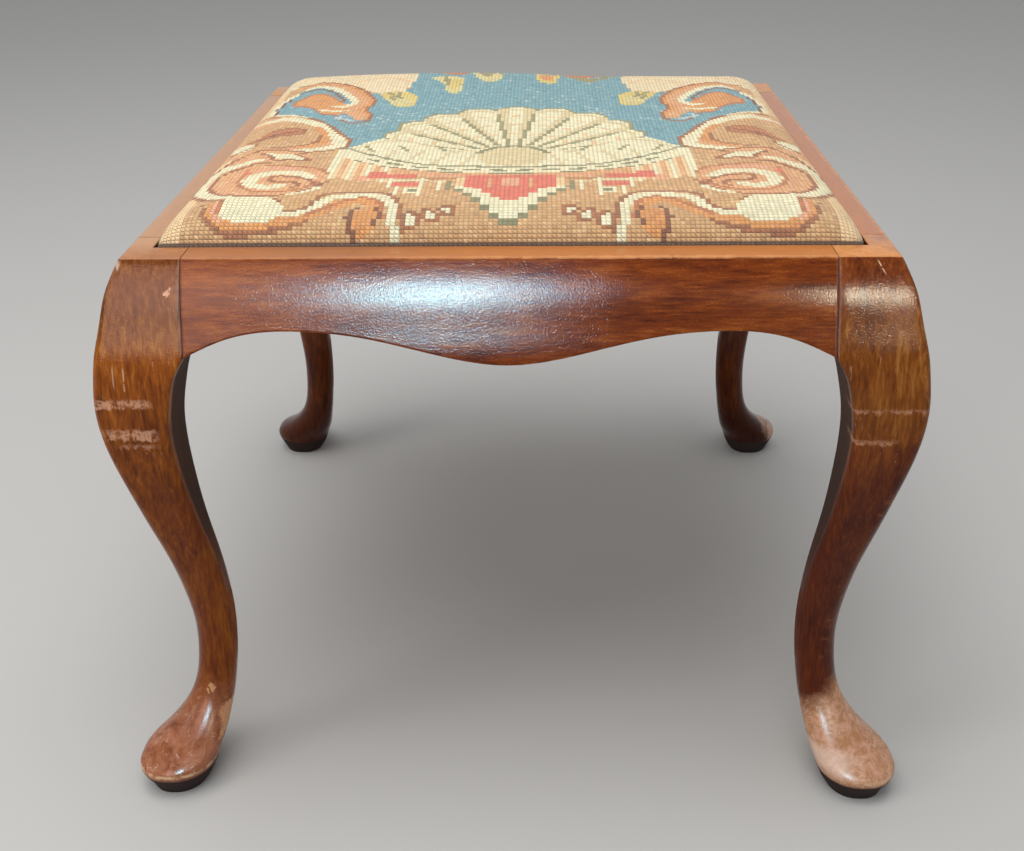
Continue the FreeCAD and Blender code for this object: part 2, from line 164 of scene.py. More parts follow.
def sweep(bm, rings, mark="wear_light_and_shade"):
    """Extrudes the first ring through the others. A ring is a row of points: x, y, z and a mark."""
    order = bm.verts.layers.int.new("order")
    marks = bm.verts.layers.float.new(mark)
    verts = [bm.verts.new(point[:3]) for point in rings[0]]
    for number, (vert, point) in enumerate(zip(verts, rings[0])):
        vert[order] = number
        vert[marks] = point[3]
    edges = [bm.edges.new((a, b)) for a, b in zip(verts, verts[1:] + verts[:1])]
    bmesh.ops.contextual_create(bm, geom=edges)
    for ring in rings[1:]:
        verts, edges = extruded(bm, edges)
        verts.sort(key=lambda vert: vert[order])
        for vert, point in zip(verts, ring):
            vert.co = point[:3]
            vert[marks] = point[3]
    bmesh.ops.contextual_create(bm, geom=edges)


def finished(bm, merge=2e-6, sharp_angle=38.0):
    """Merges doubled points, turns the faces outwards, and shades all but the sharp edges smooth."""
    bmesh.ops.remove_doubles(bm, verts=bm.verts, dist=merge)
    bmesh.ops.dissolve_degenerate(bm, dist=merge / 2, edges=bm.edges)
    bmesh.ops.recalc_face_normals(bm, faces=bm.faces)
    limit = math.radians(sharp_angle)
    for face in bm.faces:
        face.smooth = True
    for edge in bm.edges:
        edge.smooth = len(edge.link_faces) == 2 and edge.calc_face_angle(0.0) < limit
    return bm


def piece_from(bm, name, materials, body, replaces=()):
    """Makes the finished mesh a piece that rides on its body."""
    mesh = bpy.data.meshes.new(name)
    bm.to_mesh(mesh)
    bm.free()
    piece = bpy.data.objects.new(name, mesh)
    bpy.context.scene.collection.objects.link(piece)
    for material in materials:
        mesh.materials.append(material)
    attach(piece, body)
    if replaces:
        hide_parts(*replaces)
    return piece


def thicken(piece, thickness):
    """Gives a single skin its thickness, downwards from its drawn face."""
    skin = piece.modifiers.new("thickness", "SOLIDIFY")
    skin.thickness = thickness
    skin.offset = -1.0


def dress(material, *nodes):
    """Gives CAD nodes whose shape is right a better material."""
    for name in nodes:
        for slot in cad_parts[name].material_slots:
            slot.material = material


# Shader maths as Python expressions
def operator(operation, flipped=False):
    """A method that makes one node of shader maths from a value and what stands beside it."""
    def method(value, *others):
        return value.finish.maths(operation, *((*others, value) if flipped else (value, *others)))
    return method


class Value:
    """A shader socket that takes part in Python arithmetic."""

    def __init__(self, finish, socket):
        self.finish = finish
        self.socket = socket

    __add__ = __radd__ = operator("ADD")
    __sub__ = operator("SUBTRACT")
    __rsub__ = operator("SUBTRACT", flipped=True)
    __mul__ = __rmul__ = operator("MULTIPLY")
    __pow__ = operator("POWER")
    __abs__ = operator("ABSOLUTE")


class Finish:
    """A material under construction, whose colour is laid on in layers."""

    def __init__(self, name, **constants):
        self.material = bpy.data.materials.new(name)
        self.material.use_nodes = True
        self.tree = self.material.node_tree
        self.shader = self.tree.nodes["Principled BSDF"]
        self.colour = None
        for socket, value in constants.items():
            self.shader.inputs[socket.replace("_", " ")].default_value = value

    def node(self, kind, sockets, output=0, **settings):
        """One output of a new node, with its settings and its sockets' values or links."""
        node = self.tree.nodes.new("ShaderNode" + kind)
        for name, value in settings.items():
            setattr(node, name, value)
        for name, value in sockets.items():
            if isinstance(value, Value):
                self.tree.links.new(value.socket, node.inputs[name])
            else:
                node.inputs[name].default_value = value
        return Value(self, node.outputs[output])

    def maths(self, operation, *values):
        return self.node("Math", dict(enumerate(values)), operation=operation)

    def wave(self, value):
        """1 at each whole number, and 0 half way between them."""
        return abs(self.maths("FRACT", value) - 0.5) * 2

    def place(self, scale=(1, 1, 1)):
        """The piece's own Object coordinates, scaled."""
        return self.node("Mapping", {"Vector": self.node("TexCoord", {}, "Object"), "Scale": scale})

    def parts(self, vector):
        """The three numbers of a vector."""
        split = self.node("SeparateXYZ", {"Vector": vector}).socket.node
        return [Value(self, output) for output in split.outputs]

    def noise(self, vector, scale=1.0, detail=2.0, roughness=0.5, distortion=0.0):
        sockets = {"Vector": vector, "Scale": scale, "Detail": detail, "Roughness": roughness}
        return self.node("TexNoise", {**sockets, "Distortion": distortion})

    def ramp(self, value, low, high):
        """From 0 at low to 1 at high, eased and kept within those two."""
        sockets = {"Value": value, "From Min": low, "From Max": high}
        return self.node("MapRange", sockets, interpolation_type="SMOOTHSTEP")

    def near(self, value, middle, half, soft):
        """1 within half of the middle, and 0 from a soft step further out."""
        return self.ramp(abs(value - middle), half + soft, half)

    def colours(self, value, *stops):
        """A colour for each value, blended between the stops' places and colours."""
        blended = self.node("ValToRGB", {"Fac": value})
        elements = blended.socket.node.color_ramp.elements
        while len(elements) < len(stops):
            elements.new(1.0)
        for element, (place, colour) in zip(elements, stops):
            element.position = place
            element.color = colour
        return blended

    def mix(self, share, first, second, blend="MIX"):
        return self.node("Mix", {0: share, 6: first, 7: second}, 2, data_type="RGBA", blend_type=blend)

    def lay(self, share, colour):
        """Lays a share of another colour over the present one."""
        self.colour = self.mix(share, self.colour, colour)

    def tint(self, share, *tone):
        """Multiplies a share of the present colour by a tone."""
        self.colour = self.mix(share, self.colour, (*tone, 1.0), "MULTIPLY")

    def attribute(self, name, output="Fac"):
        return self.node("Attribute", {}, output, attribute_name=name)

    def bump(self, height, strength, distance):
        return self.node("Bump", {"Height": height, "Strength": strength, "Distance": distance})

    def plug(self, **sockets):
        """Links the colour, and what else changes over the surface, to the shader."""
        for name, value in {"Base_Color": self.colour, **sockets}.items():
            self.tree.links.new(value.socket, self.shader.inputs[name.replace("_", " ")])
        return self.material


# Sizes and colours that a user would change
COLOUR = {"subtype": "COLOR", "size": 3}


class StoolWood(bpy.types.PropertyGroup):
    arris: FloatProperty(
        name="Arris", description="Rounding of the frame's worn edges",
        default=0.0011, min=0.0003, max=0.003, unit="LENGTH")
    light: FloatVectorProperty(
        name="Light wood", description="The paler grain under the varnish",
        default=srgb(162, 92, 38)[:3], **COLOUR)
    middle: FloatVectorProperty(
        name="Wood", description="The wood's main colour",
        default=srgb(122, 56, 14)[:3], **COLOUR)
    dark: FloatVectorProperty(
        name="Dark wood", description="The darker grain and the pores",
        default=srgb(78, 28, 4)[:3], **COLOUR)


class StoolNeedlework(bpy.types.PropertyGroup):
    stitch: FloatProperty(
        name="Stitch", description="Width of one stitch of the canvas",
        default=0.00309, min=0.001, max=0.006, unit="LENGTH")
    ground: FloatVectorProperty(
        name="Ground", description="Tan wool around the scrolls",
        default=srgb(226, 176, 118)[:3], **COLOUR)
    field: FloatVectorProperty(
        name="Field", description="Blue wool of the middle",
        default=srgb(128, 176, 186)[:3], **COLOUR)
    frames: IntProperty(
        name="Settling", description="Frames for which the cover's cloth is filled and settles",
        default=16, min=1, max=40)


class StoolStage(bpy.types.PropertyGroup):
    floor: FloatVectorProperty(
        name="Floor", description="Colour of the floor and backdrop",
        default=(0.56, 0.56, 0.555), **COLOUR)
    daylight: FloatProperty(
        name="Daylight", description="Strength of the even light from all round",
        default=0.42, min=0.0, max=2.0)


def leg_ring(height, opened=False, drawn=0.0, arris=0.0):
    """The leg's outline at a height in the back right corner, corner by corner.

    Above the ledge it is opened into the two arms that carry the seat's rebate. drawn is how far
    its top edges are drawn in to round them.
    """
    reach, depth, side, toe = leg_at(height)
    girth = reach + depth
    beyond = max(0.0, depth - STILE)
    depth = min(depth, STILE)
    side_radius = max(0.0, side * girth - beyond)
    inner_radius = max(0.0, toe * girth - beyond)
    toe_radius = max(toe * girth, arris or LEAST_ROUNDING)
    reach -= drawn
    far = np.array([HALF_WIDTH + reach, HALF_DEPTH + reach])
    near = np.array([HALF_WIDTH - depth, HALF_DEPTH - depth])
    turn = np.linspace(0, math.pi / 2, 9)
    face = (0.12, 0.3, 0.5, 0.7, 0.88)
    mid = np.array([HALF_WIDTH - SIDE_BORDER + drawn, HALF_DEPTH - FRONT_BORDER + drawn])
    groove = max(JOINT_GROOVE, side_radius)

    def arc(x, y, radius, start):
        return [(x + radius * math.cos(start + a), y + radius * math.sin(start + a)) for a in turn]

    def along(start, end, shares):
        start, end = np.array(start), np.array(end)
        return [tuple(start + (end - start) * share) for share in shares]

    toe_arc = arc(far[0] - toe_radius, far[1] - toe_radius, toe_radius, 0)
    side_left = arc(near[0] + groove, far[1] - groove, groove, math.pi / 2)
    side_right = arc(far[0] - groove, near[1] + groove, groove, 1.5 * math.pi)
    if opened:
        left_inner, right_inner = (near[0], mid[1]), (mid[0], near[1])
        left_in = along(side_left[-1], left_inner, (0.4, 0.8, 1.0)) + along(left_inner, mid, (0.33, 0.66))
        inner = [tuple(mid)] * len(turn)
        right_in = along(mid, right_inner, (0.33, 0.66)) + along(right_inner, side_right[0], (0.0, 0.2, 0.6))
    else:
        inner = arc(near[0] + inner_radius, near[1] + inner_radius, inner_radius, math.pi)
        left_in = along(side_left[-1], inner[0], (0.2, 0.4, FRONT_BORDER / STILE, 0.72, 0.86))
        right_in = along(inner[-1], side_right[0], (0.2, 0.4, 1 - SIDE_BORDER / STILE, 0.72, 0.86))
    # The inner faces above the lower leg get a negative mark, which the wood's finish turns into painted
    # shade under the stool.
    hidden = -min(max((height - 0.12) / 0.10, 0.0), 1.0)
    parts = (
        (toe_arc, 0.75 if height > 0.06 else 0.3),
        (along(toe_arc[-1], side_left[0], face), 0.0),
        (side_left, 0.4),
        (left_in + inner + right_in, hidden),
        (side_right, 0.4),
        (along(side_right[-1], toe_arc[0], face), 0.0),
    )
    return [(x, y, height, 1.0 if drawn else wear_light_and_shade) for points, wear_light_and_shade in parts for x, y in points]


def leg_rings(arris):
    """The leg's rings from the floor to its top."""
    heights = [z for z in LEG_LINE[::4, 0] if z < LEDGE - POINT_STEP]
    rings = [leg_ring(0.0)] + [leg_ring(z) for z in heights if z > 0.0005]
    rings.append(leg_ring(LEDGE))
    top = FRAME_TOP - arris
    for z in np.linspace(LEDGE, top, 5):
        rings.append(leg_ring(z, opened=True))
    for turn in (0.3, 0.6, 0.85, 1.0):
        angle = turn * math.pi / 2
        drawn = arris * (1 - math.cos(angle)) + 1e-6
        rings.append(leg_ring(top + arris * math.sin(angle), True, drawn, arris))
    return rings


def apron_ring(along, share, setback, border, shrink, arris):
    """The apron's section at a place along its run, in the front's place."""
    low = edge_height(share) + shrink
    top = FRAME_TOP - shrink
    inner = -setback + RAIL_THICKNESS - shrink
    rebate = -setback + border

    def outer(z):
        return -setback - leg_at(z)[0] + shrink

    points = []

    def rounded(y, z, first, second, radius, wear_light_and_shade):
        """A worn corner between two directions, each a unit step away from the corner."""
        for turn in (0.0, 0.25, 0.5, 0.75, 1.0):
            a = turn * math.pi / 2
            back = radius * (1 - math.sin(a)), radius * (1 - math.cos(a))
            across = y + back[0] * first[0] + back[1] * second[0]
            up = z + back[0] * first[1] + back[1] * second[1]
            if y == outer(z):
                across += outer(up) - y
            points.append((across, up, wear_light_and_shade))

    rounded(outer(top), top, (1, 0), (0, -1), arris, 1.0)
    for z in np.linspace(top - 1.6 * arris, low + 1.6 * arris, 15):
        points.append((outer(z), z, 0.0))
    rounded(outer(low), low, (0, 1), (1, 0), arris, 0.8)
    for part in (0.3, 0.6):
        points.append((outer(low) + (inner - outer(low)) * part, low, 0.0))
    rounded(inner, low, (-1, 0), (0, 1), arris, 0.5)
    for z in np.linspace(low + 4 * POINT_STEP, LEDGE - 2 * POINT_STEP, 5):
        points.append((inner, z, 0.0))
    points.append((inner, LEDGE, 0.0))
    points.append((rebate, LEDGE, 0.0))
    points.append((rebate, LEDGE + 3 * POINT_STEP, 0.0))
    rounded(rebate, top, (0, -1), (-1, 0), 0.7 * arris, 0.8)
    points.append(((outer(top) + rebate) / 2, top, 0.1))
    return [(along, y, z, wear_light_and_shade) for y, z, wear_light_and_shade in points]


def apron_rings(run, setback, border, arris):
    """The apron's sections from its left end to its right end, with a fine groove at each joint."""
    places = [(run, JOINT_GROOVE), (run - 0.0001, 0.0001), (run - JOINT_GROOVE, 0.0)]
    stations = [(-x, shrink) for x, shrink in places]
    stations += [(x, 0.0) for x in np.linspace(-run + POINT_STEP, run - POINT_STEP, 97)]
    stations += places[::-1]
    return [apron_ring(x, x / run, setback, border, shrink, arris) for x, shrink in stations]


# Finishes
def stretched(axis, along, across):
    """A scale for noise that is drawn out along one axis."""
    return tuple(along if name == axis else across for name in "XYZ")


def mahogany(name, axis):
    """Varnished red-brown wood whose grain runs along one of the axes, worn at its edges and feet, with
    painted highlights along the edges, painted glints on the aprons, a painted reflection on the top faces,
    painted light on the front knees, and painted shade on the right and back legs, the inner faces and the
    feet's undersides.
    """
    wood = bpy.context.scene.stool_wood
    finish = Finish(name, IOR=1.5, Specular_IOR_Level=0.18)
    ramp, near = finish.ramp, finish.near
    here = finish.place()
    x, y, z = finish.parts(here)

    def fibres(along, across, *character):
        return finish.noise(finish.place(stretched(axis, along, across)), 1.0, *character)

    streaks = fibres(62, 560, 3.0, 0.6, 0.3)
    grain = fibres(30, 210, 4.0, 0.6, 0.5)
    figure = fibres(9, 36, 3.0, 0.55, 1.3)
    clouds = finish.noise(here, 8.0, 3.0, 0.55)
    mottle = finish.noise(here, 75.0, 4.0, 0.65, 1.2)
    peel = finish.noise(here, 1020.0, 1.5, 0.5)
    tone = streaks * 0.36 + grain * 0.32 + figure * 0.24 + clouds * 0.26 - 0.09
    dark, middle, light = ((*c, 1.0) for c in (wood.dark, wood.middle, wood.light))
    finish.colour = finish.colours(tone, (0.36, dark), (0.5, middle), (0.66, light))
    pores = ramp(fibres(70, 1700, 2.0), 0.60, 0.72)
    finish.lay(pores * 0.4, dark)

    # The varnish is thicker and more amber down the legs.
    amber = ramp(z + clouds * 0.05, 0.355, 0.255)
    finish.tint(amber * 0.95, 0.95, 0.95, 0.15)
    right, front = ramp(x, 0.02, 0.20), ramp(y, 0.0, -0.15)
    left, back = 1 - right, 1 - front
    if axis == "Z":
        # Painted light on the front left knee, which is made golden and lighter.
        painted_light_left_knee = near(z + clouds * 0.05, 0.332, 0.026, 0.055) * front * left
        finish.tint(painted_light_left_knee * 0.9, 1.75, 2.25, 1.70)
        # Painted light on the front right knee, made golden.
        painted_light_right_knee = near(z, 0.330, 0.026, 0.030) * front * right
        finish.tint(painted_light_right_knee * 0.8, 1.30, 1.90, 2.00)
        # A painted haze of reflected light, paler and bluer, on the front left stile.
        painted_haze_left_stile = ramp(z, 0.340, 0.360) * front * left
        finish.tint(painted_haze_left_stile * 0.8, 0.86, 1.10, 1.35)
        shin = ramp(z, 0.23, 0.15) * ramp(z, 0.05, 0.09) * left
        finish.tint(shin * front * 0.9, 0.86, 0.80, 0.60)
        # Painted shade on the right legs below the knee, deepest on the front one.
        deep = ramp(z + clouds * 0.05, 0.330, 0.270)
        finish.tint(right * deep * (front * 0.65 + 0.3), 0.42, 0.26, 0.30)
        # Painted shade on the back legs, growing down the leg and darkest at the feet.
        finish.tint(back * amber * 0.8, 0.46, 0.40, 0.40)
        finish.tint(back * ramp(z, 0.09, 0.04) * 0.9, 0.42, 0.28, 0.25)
    else:
        finish.tint(0.8, 1.0, 0.90, 0.40)
        # Painted glints: fine pale specks that stand in for light sparkling on the aprons' varnish.
        finish.tint(ramp(peel, 0.46, 0.62) * 0.3, 1.9, 1.9, 2.4)

    # The top faces are painted lighter, a painted reflection of the light from above, most of all in the
    # border's front corners.
    pale = finish.mix(ramp(x + clouds * 0.3, -0.02, 0.22), srgb(182, 126, 88), srgb(208, 136, 76))
    rebate = HALF_WIDTH - SIDE_BORDER
    border = ramp(abs(x), rebate - 0.0012, rebate - 0.0002) * ramp(y, -0.236, -0.204)
    pale = finish.mix(border * 0.75, pale, finish.mix(right, srgb(214, 176, 138), srgb(204, 152, 124)))
    finish.lay(ramp(z, FRAME_TOP - 0.0007, FRAME_TOP - 0.0002) * 0.66, pale)

    # Joint lines; worn edges, lightened partly as worn wood and partly as a painted highlight along the
    # arrises; and painted shade on the inner faces under the stool.
    for value, half, across in ((x, HALF_WIDTH, y), (y, HALF_DEPTH, x)):
        seam = near(abs(value), half - STILE, 0.0002, 0.0006)
        seam = seam * ramp(z, 0.3425, 0.3435) * ramp(abs(across), 0.21, 0.215)
        finish.lay(seam * 0.65, srgb(48, 20, 18))
    wear_light_and_shade = finish.attribute("wear_light_and_shade")
    handled = ramp(x, -0.10, 0.04) * 0.7 + 0.3
    # The arrises are lightened: partly worn wood, partly a painted highlight along them.
    rubbed_and_highlit_edges = ramp(wear_light_and_shade * 0.62 + mottle * 0.6, 0.76, 1.0) * handled
    finish.lay(rubbed_and_highlit_edges * 0.6, finish.mix(amber, srgb(222, 156, 98), srgb(180, 104, 44)))
    # Painted shade on the inner faces under the stool, which are also made duller.
    bare_and_shaded_inner = ramp(wear_light_and_shade, -0.1, -0.9)
    finish.lay(bare_and_shaded_inner * 0.9, srgb(54, 34, 22))

    worn, top, below = foot_marks(finish, (x, y, z), mottle, front, right)
    if axis == "Z":
        knee_marks(finish, x, y, z)
    elif axis == "X":
        crack = near(x - (0.3939 - z) * 0.38, 0.0252, 0.0001, 0.0004) * near(z, 0.380, 0.012, 0.003)
        finish.lay(crack * ramp(y, -0.2, -0.21) * 0.5, dark)
    joint = near(abs(x), HALF_WIDTH - STILE, 0.0010, 0.0008)
    dull = clouds * 0.06 + rubbed_and_highlit_edges * 0.15 + bare_and_shaded_inner * 0.5 + worn * 0.15 + top * 0.15 + below * 0.6 + joint * 0.4
    levelled = 1 - near(x, 0.140, 0.050, 0.040) * 0.6
    normal = finish.bump(peel * levelled + grain * 0.06, 1.0, 0.00010)
    return finish.plug(Roughness=dull + 0.10, Normal=normal)


def foot_marks(finish, place, mottle, front, right):
    """Tops worn soft and pale, most of all at the front right, a rim worn pale, and painted shade on the
    foot's underside.
    """
    ramp, near, here = finish.ramp, finish.near, finish.place()
    x, y, z = place
    left = 1 - right
    swirls = finish.noise(here, 34.0, 3.0, 0.6, 2.2)
    top = front * left * ramp(z + swirls * 0.04, 0.105, 0.060) * ramp(swirls, 0.15, 0.75)
    finish.lay(top * 0.75, srgb(184, 124, 96))
    worn = front * right * ramp(z - x * 0.92 + swirls * 0.02, -0.117, -0.139) * ramp(swirls, 0.05, 0.35)
    grubby = ramp(finish.noise(here, 130.0, 4.0, 0.7, 0.8), 0.34, 0.64)
    finish.lay(worn * 0.85, finish.mix(grubby, srgb(222, 174, 148), srgb(188, 134, 92)))
    burnished = worn * near(z, 0.0285, 0.004, 0.005) * ramp(x, 0.244, 0.230)
    finish.lay(burnished * 0.45, srgb(248, 224, 210))
    scratched = (worn + top) * near(finish.noise(here, 62.0, 3.0, 0.5, 1.6), 0.5, 0.003, 0.007)
    finish.lay(scratched * 0.4, srgb(236, 204, 176))
    peeled_x, peeled_z = x + grubby * 0.003, z + grubby * 0.004
    peeled = near(peeled_z, 0.0460, 0.009, 0.002) * ramp(peeled_x, -0.2125, -0.2100)
    peeled = peeled + ramp(abs(peeled_x + 0.2180) + abs(peeled_z - 0.0705) * 0.7, 0.0040, 0.0025)
    finish.lay(peeled * front * left * 0.7, srgb(222, 168, 122))
    heel = ramp(x, 0.0, 0.1) * (1 - front) * ramp(z, 0.066, 0.052)
    heel = heel * ramp(y + x + mottle * 0.03, 0.488, 0.506) * (ramp(mottle, 0.40, 0.56) * 0.6 + 0.4)
    finish.lay(heel * 0.6, srgb(228, 180, 150))
    flecks = front * ramp(z, 0.085, 0.055) * ramp(finish.noise(here, 150.0, 4.0, 0.7, 0.6), 0.66, 0.72)
    finish.lay(flecks * 0.7, srgb(232, 188, 148))
    rim = near(z + mottle * 0.003, 0.0220, 0.0006, 0.0013) * ramp(mottle, 0.46, 0.60) * front
    finish.lay(rim * 0.8, srgb(226, 190, 150))
    # Painted shade on the underside of each foot, under its widest point.
    below = ramp(z, 0.0185, 0.0150)
    finish.lay(below, srgb(38, 13, 7))
    return worn, top, below


def knee_marks(finish, x, y, z):
    """Scuffs across the knees, fine scratches above them and a chip, on the front legs."""
    ramp, near = finish.ramp, finish.near
    front = ramp(y, -0.235, -0.240)
    frayed = finish.noise(finish.place(), 210.0, 4.0, 0.7)
    streaky = finish.noise(finish.place(stretched("Z", 45, 620)), 1.0, 3.0, 0.6)
    ragged_x, ragged_z = x + frayed * 0.016 - 0.008, z + frayed * 0.012 - 0.006
    grazed = ramp(frayed * 0.75 + streaky * 0.25, 0.38, 0.56)
    pale = srgb(232, 176, 142)
    for place, height, reach, depth, share in (
        (-0.2430, 0.3139, 0.015, 0.0022, 0.70),
        (-0.2400, 0.2918, 0.013, 0.0030, 0.75),
        (-0.2360, 0.2830, 0.008, 0.0006, 0.40),
        (0.2370, 0.3091, 0.020, 0.0003, 0.45),
        (0.2280, 0.2866, 0.011, 0.0007, 0.45),
    ):
        band = near(ragged_x, place, reach, 0.007) * near(ragged_z, height, depth, 0.0016)
        finish.lay(band * grazed * front * share, pale)
    knee = near(z, 0.325, 0.045, 0.030)
    fine = knee * ramp(streaky, 0.66, 0.71) * ramp(abs(y), HALF_DEPTH, HALF_DEPTH + 0.004)
    finish.lay(fine * 0.3, pale)
    broken = ramp(frayed, 0.42, 0.5)
    for place, height, length, lean, share in (
        (-0.2464, 0.3325, 0.005, 0.0, 0.45),
        (-0.2397, 0.3312, 0.007, 0.02, 0.55),
        (0.2262, 0.4000, 0.004, -0.59, 0.9),
    ):
        scratch = near(x - (z - height) * lean, place, 0.0002, 0.0005) * near(z, height, length, 0.003)
        finish.lay(scratch * broken * front * share, srgb(236, 196, 160))
    corner = ramp(abs(x + 0.2405) + abs(z - 0.4025) * 0.35, 0.0030, 0.0012)
    finish.lay(corner * broken * front * 0.7, srgb(230, 200, 176))
    chip = ramp(abs(ragged_x + 0.2096) + abs(ragged_z - 0.3840) * 0.8, 0.0024, 0.0015)
    finish.lay(chip * front * 0.85, srgb(232, 182, 146))


# The camera stands where the photograph was taken from. Its angles are yaw, pitch and roll.
CAMERA_PLACE = (0.02405, -0.92016, 0.66389)
CAMERA_ANGLES = (-1.759, 21.541, 0.82)
CAMERA_LENS = {"sensor_width": 36.0, "lens": 42.0, "shift_y": -0.15, "clip_start": 0.01, "clip_end": 50.0}
FLOOR_REACH = 20.0
BACKDROP = (0.54, 0.56, 0.58, 1.0)

# Lamps: place, size, power, colour, and for the two that light the stool what they face. The others
# show only as reflections in the varnish.
LAMPS = (
    ("window_left", (-0.25, -2.30, 0.93), (0.22, 0.78), 66.0, (0.48, 0.90, 1.0), None),
    ("window_glow", (-0.27, -2.31, 0.98), (0.38, 0.95), 18.0, (0.62, 0.72, 1.0), None),
    ("window_middle", (-0.022, -2.30, 1.05), (0.12, 0.50), 8.0, (0.60, 0.76, 1.0), None),
    ("window_right", (0.80, -2.20, 0.82), (0.17, 0.38), 20.0, (1.0, 0.93, 0.70), None),
    ("curtain", (-0.95, -2.20, 0.95), (0.80, 1.30), 30.0, (1.0, 0.64, 0.52), None),
    ("overhead", (-0.3, -0.5, 2.4), (2.0, 2.0), 43.0, (1.0, 0.98, 0.95), (0.0, 0.0, 0.3)),
    ("side_left", (-2.2, -1.2, 1.3), (1.0, 1.0), 10.0, (1.0, 0.97, 0.93), (-0.2, -0.2, 0.3)),
)


# Pieces
class STOOL_OT_stage(bpy.types.Operator):
    """Makes the camera at the photograph's angle, the floor and the studio light"""

    bl_idname = "stool.stage"
    bl_label = "Stage and light"

    def execute(self, context):
        stage = context.scene.stool_stage
        context.scene.view_settings.view_transform = "Standard"
        self.camera(context.scene)
        bm = bmesh.new()
        bmesh.ops.create_grid(bm, x_segments=8, y_segments=8, size=FLOOR_REACH)
        pale = Finish("pale_floor", Base_Color=(*stage.floor, 1.0), Roughness=0.9, Specular_IOR_Level=0.0)
        floor = piece_from(bm, "floor", [pale.material], "frame")
        floor.parent = None
        self.daylight(context.scene, stage.daylight)
        for lamp in LAMPS:
            self.lamp(context.scene, *lamp)
        return {"FINISHED"}

    def camera(self, scene):
        lens = bpy.data.cameras.new("camera")
        for name, value in CAMERA_LENS.items():
            setattr(lens, name, value)
        camera = bpy.data.objects.new("camera", lens)
        scene.collection.objects.link(camera)
        scene.camera = camera
        yaw, pitch, roll = (math.radians(angle) for angle in CAMERA_ANGLES)
        ahead = Vector((math.sin(yaw) * math.cos(pitch), math.cos(yaw) * math.cos(pitch), -math.sin(pitch)))
        right = Vector((math.cos(yaw), -math.sin(yaw), 0))
        down = ahead.cross(right)
        tilted_right = right * math.cos(roll) + down * math.sin(roll)
        tilted_down = down * math.cos(roll) - right * math.sin(roll)
        turn = Matrix((tilted_right, -tilted_down, -ahead)).transposed().to_4x4()
        camera.matrix_world = Matrix.Translation(CAMERA_PLACE) @ turn

    def daylight(self, scene, strength):
        """An even light from all round, behind which the eye and the varnish see a plain backdrop."""
        world = bpy.data.worlds.new("daylight")
        scene.world = world
        world.use_nodes = True
        nodes, links = world.node_tree.nodes, world.node_tree.links
        light, seen = nodes["Background"], nodes.new("ShaderNodeBackground")
        light.inputs["Color"].default_value = (1.0, 1.0, 1.0, 1.0)
        light.inputs["Strength"].default_value = strength
        seen.inputs["Color"].default_value = BACKDROP
        rays = nodes.new("ShaderNodeLightPath").outputs
        share = rays["Is Camera Ray"]
        for kind in ("Is Glossy Ray", "Is Transmission Ray"):
            either = nodes.new("ShaderNodeMath")
            either.operation = "MAXIMUM"
            links.new(share, either.inputs[0])
            links.new(rays[kind], either.inputs[1])
            share = either.outputs[0]
        choose = nodes.new("ShaderNodeMixShader")
        for number, output in enumerate((share, light.outputs[0], seen.outputs[0])):
            links.new(output, choose.inputs[number])
        links.new(choose.outputs[0], nodes["World Output"].inputs["Surface"])

    def lamp(self, scene, name, place, size, power, colour, target):
        light = bpy.data.lights.new(name, "AREA")
        light.shape = "RECTANGLE"
        light.size, light.size_y = size
        light.energy = power
        light.color = colour
        lamp = bpy.data.objects.new(name, light)
        scene.collection.objects.link(lamp)
        lamp.visible_diffuse = target is not None
        lamp.location = place
        ahead = Vector(target or (place[0], 0.0, place[2])) - Vector(place)
        lamp.rotation_euler = ahead.to_track_quat("-Z", "Y").to_euler()


class STOOL_OT_legs(bpy.types.Operator):
    """Makes the four cabriole legs, each in one piece with its stile"""

    bl_idname = "stool.legs"
    bl_label = "Legs"

    def execute(self, context):
        arris = context.scene.stool_wood.arris
        finish = mahogany("mahogany_upright", "Z")
        for end, towards_y in (("back", 1), ("front", -1)):
            for side, towards_x in (("right", 1), ("left", -1)):
                bm = bmesh.new()
                sweep(bm, leg_rings(arris))
                bmesh.ops.transform(bm, matrix=Matrix.Diagonal((towards_x, towards_y, 1, 1)), verts=bm.verts)
                name = "leg_%s_%s" % (end, side)
                piece_from(finished(bm), "cabriole_" + name, [finish], "frame", [name])
        return {"FINISHED"}


class STOOL_OT_aprons(bpy.types.Operator):
    """Makes the four bowed aprons between the legs"""

    bl_idname = "stool.aprons"
    bl_label = "Aprons"

    def execute(self, context):
        arris = context.scene.stool_wood.arris
        across = mahogany("mahogany_across", "X")
        deep = mahogany("mahogany_deep", "Y")
        front = (HALF_WIDTH - STILE, HALF_DEPTH, FRONT_BORDER)
        side = (HALF_DEPTH - STILE, HALF_WIDTH, SIDE_BORDER)
        for name, size, angle, finish in (
            ("front", front, 0, across),
            ("back", front, 180, across),
            ("right", side, 90, deep),
            ("left", side, -90, deep),
        ):
            bm = bmesh.new()
            sweep(bm, apron_rings(*size, arris))
            bmesh.ops.rotate(bm, verts=bm.verts, matrix=Matrix.Rotation(math.radians(angle), 3, "Z"))
            shaped = "shaped_apron_" + name
            piece_from(finished(bm), shaped, [finish], "frame", ["apron_" + name])
        return {"FINISHED"}


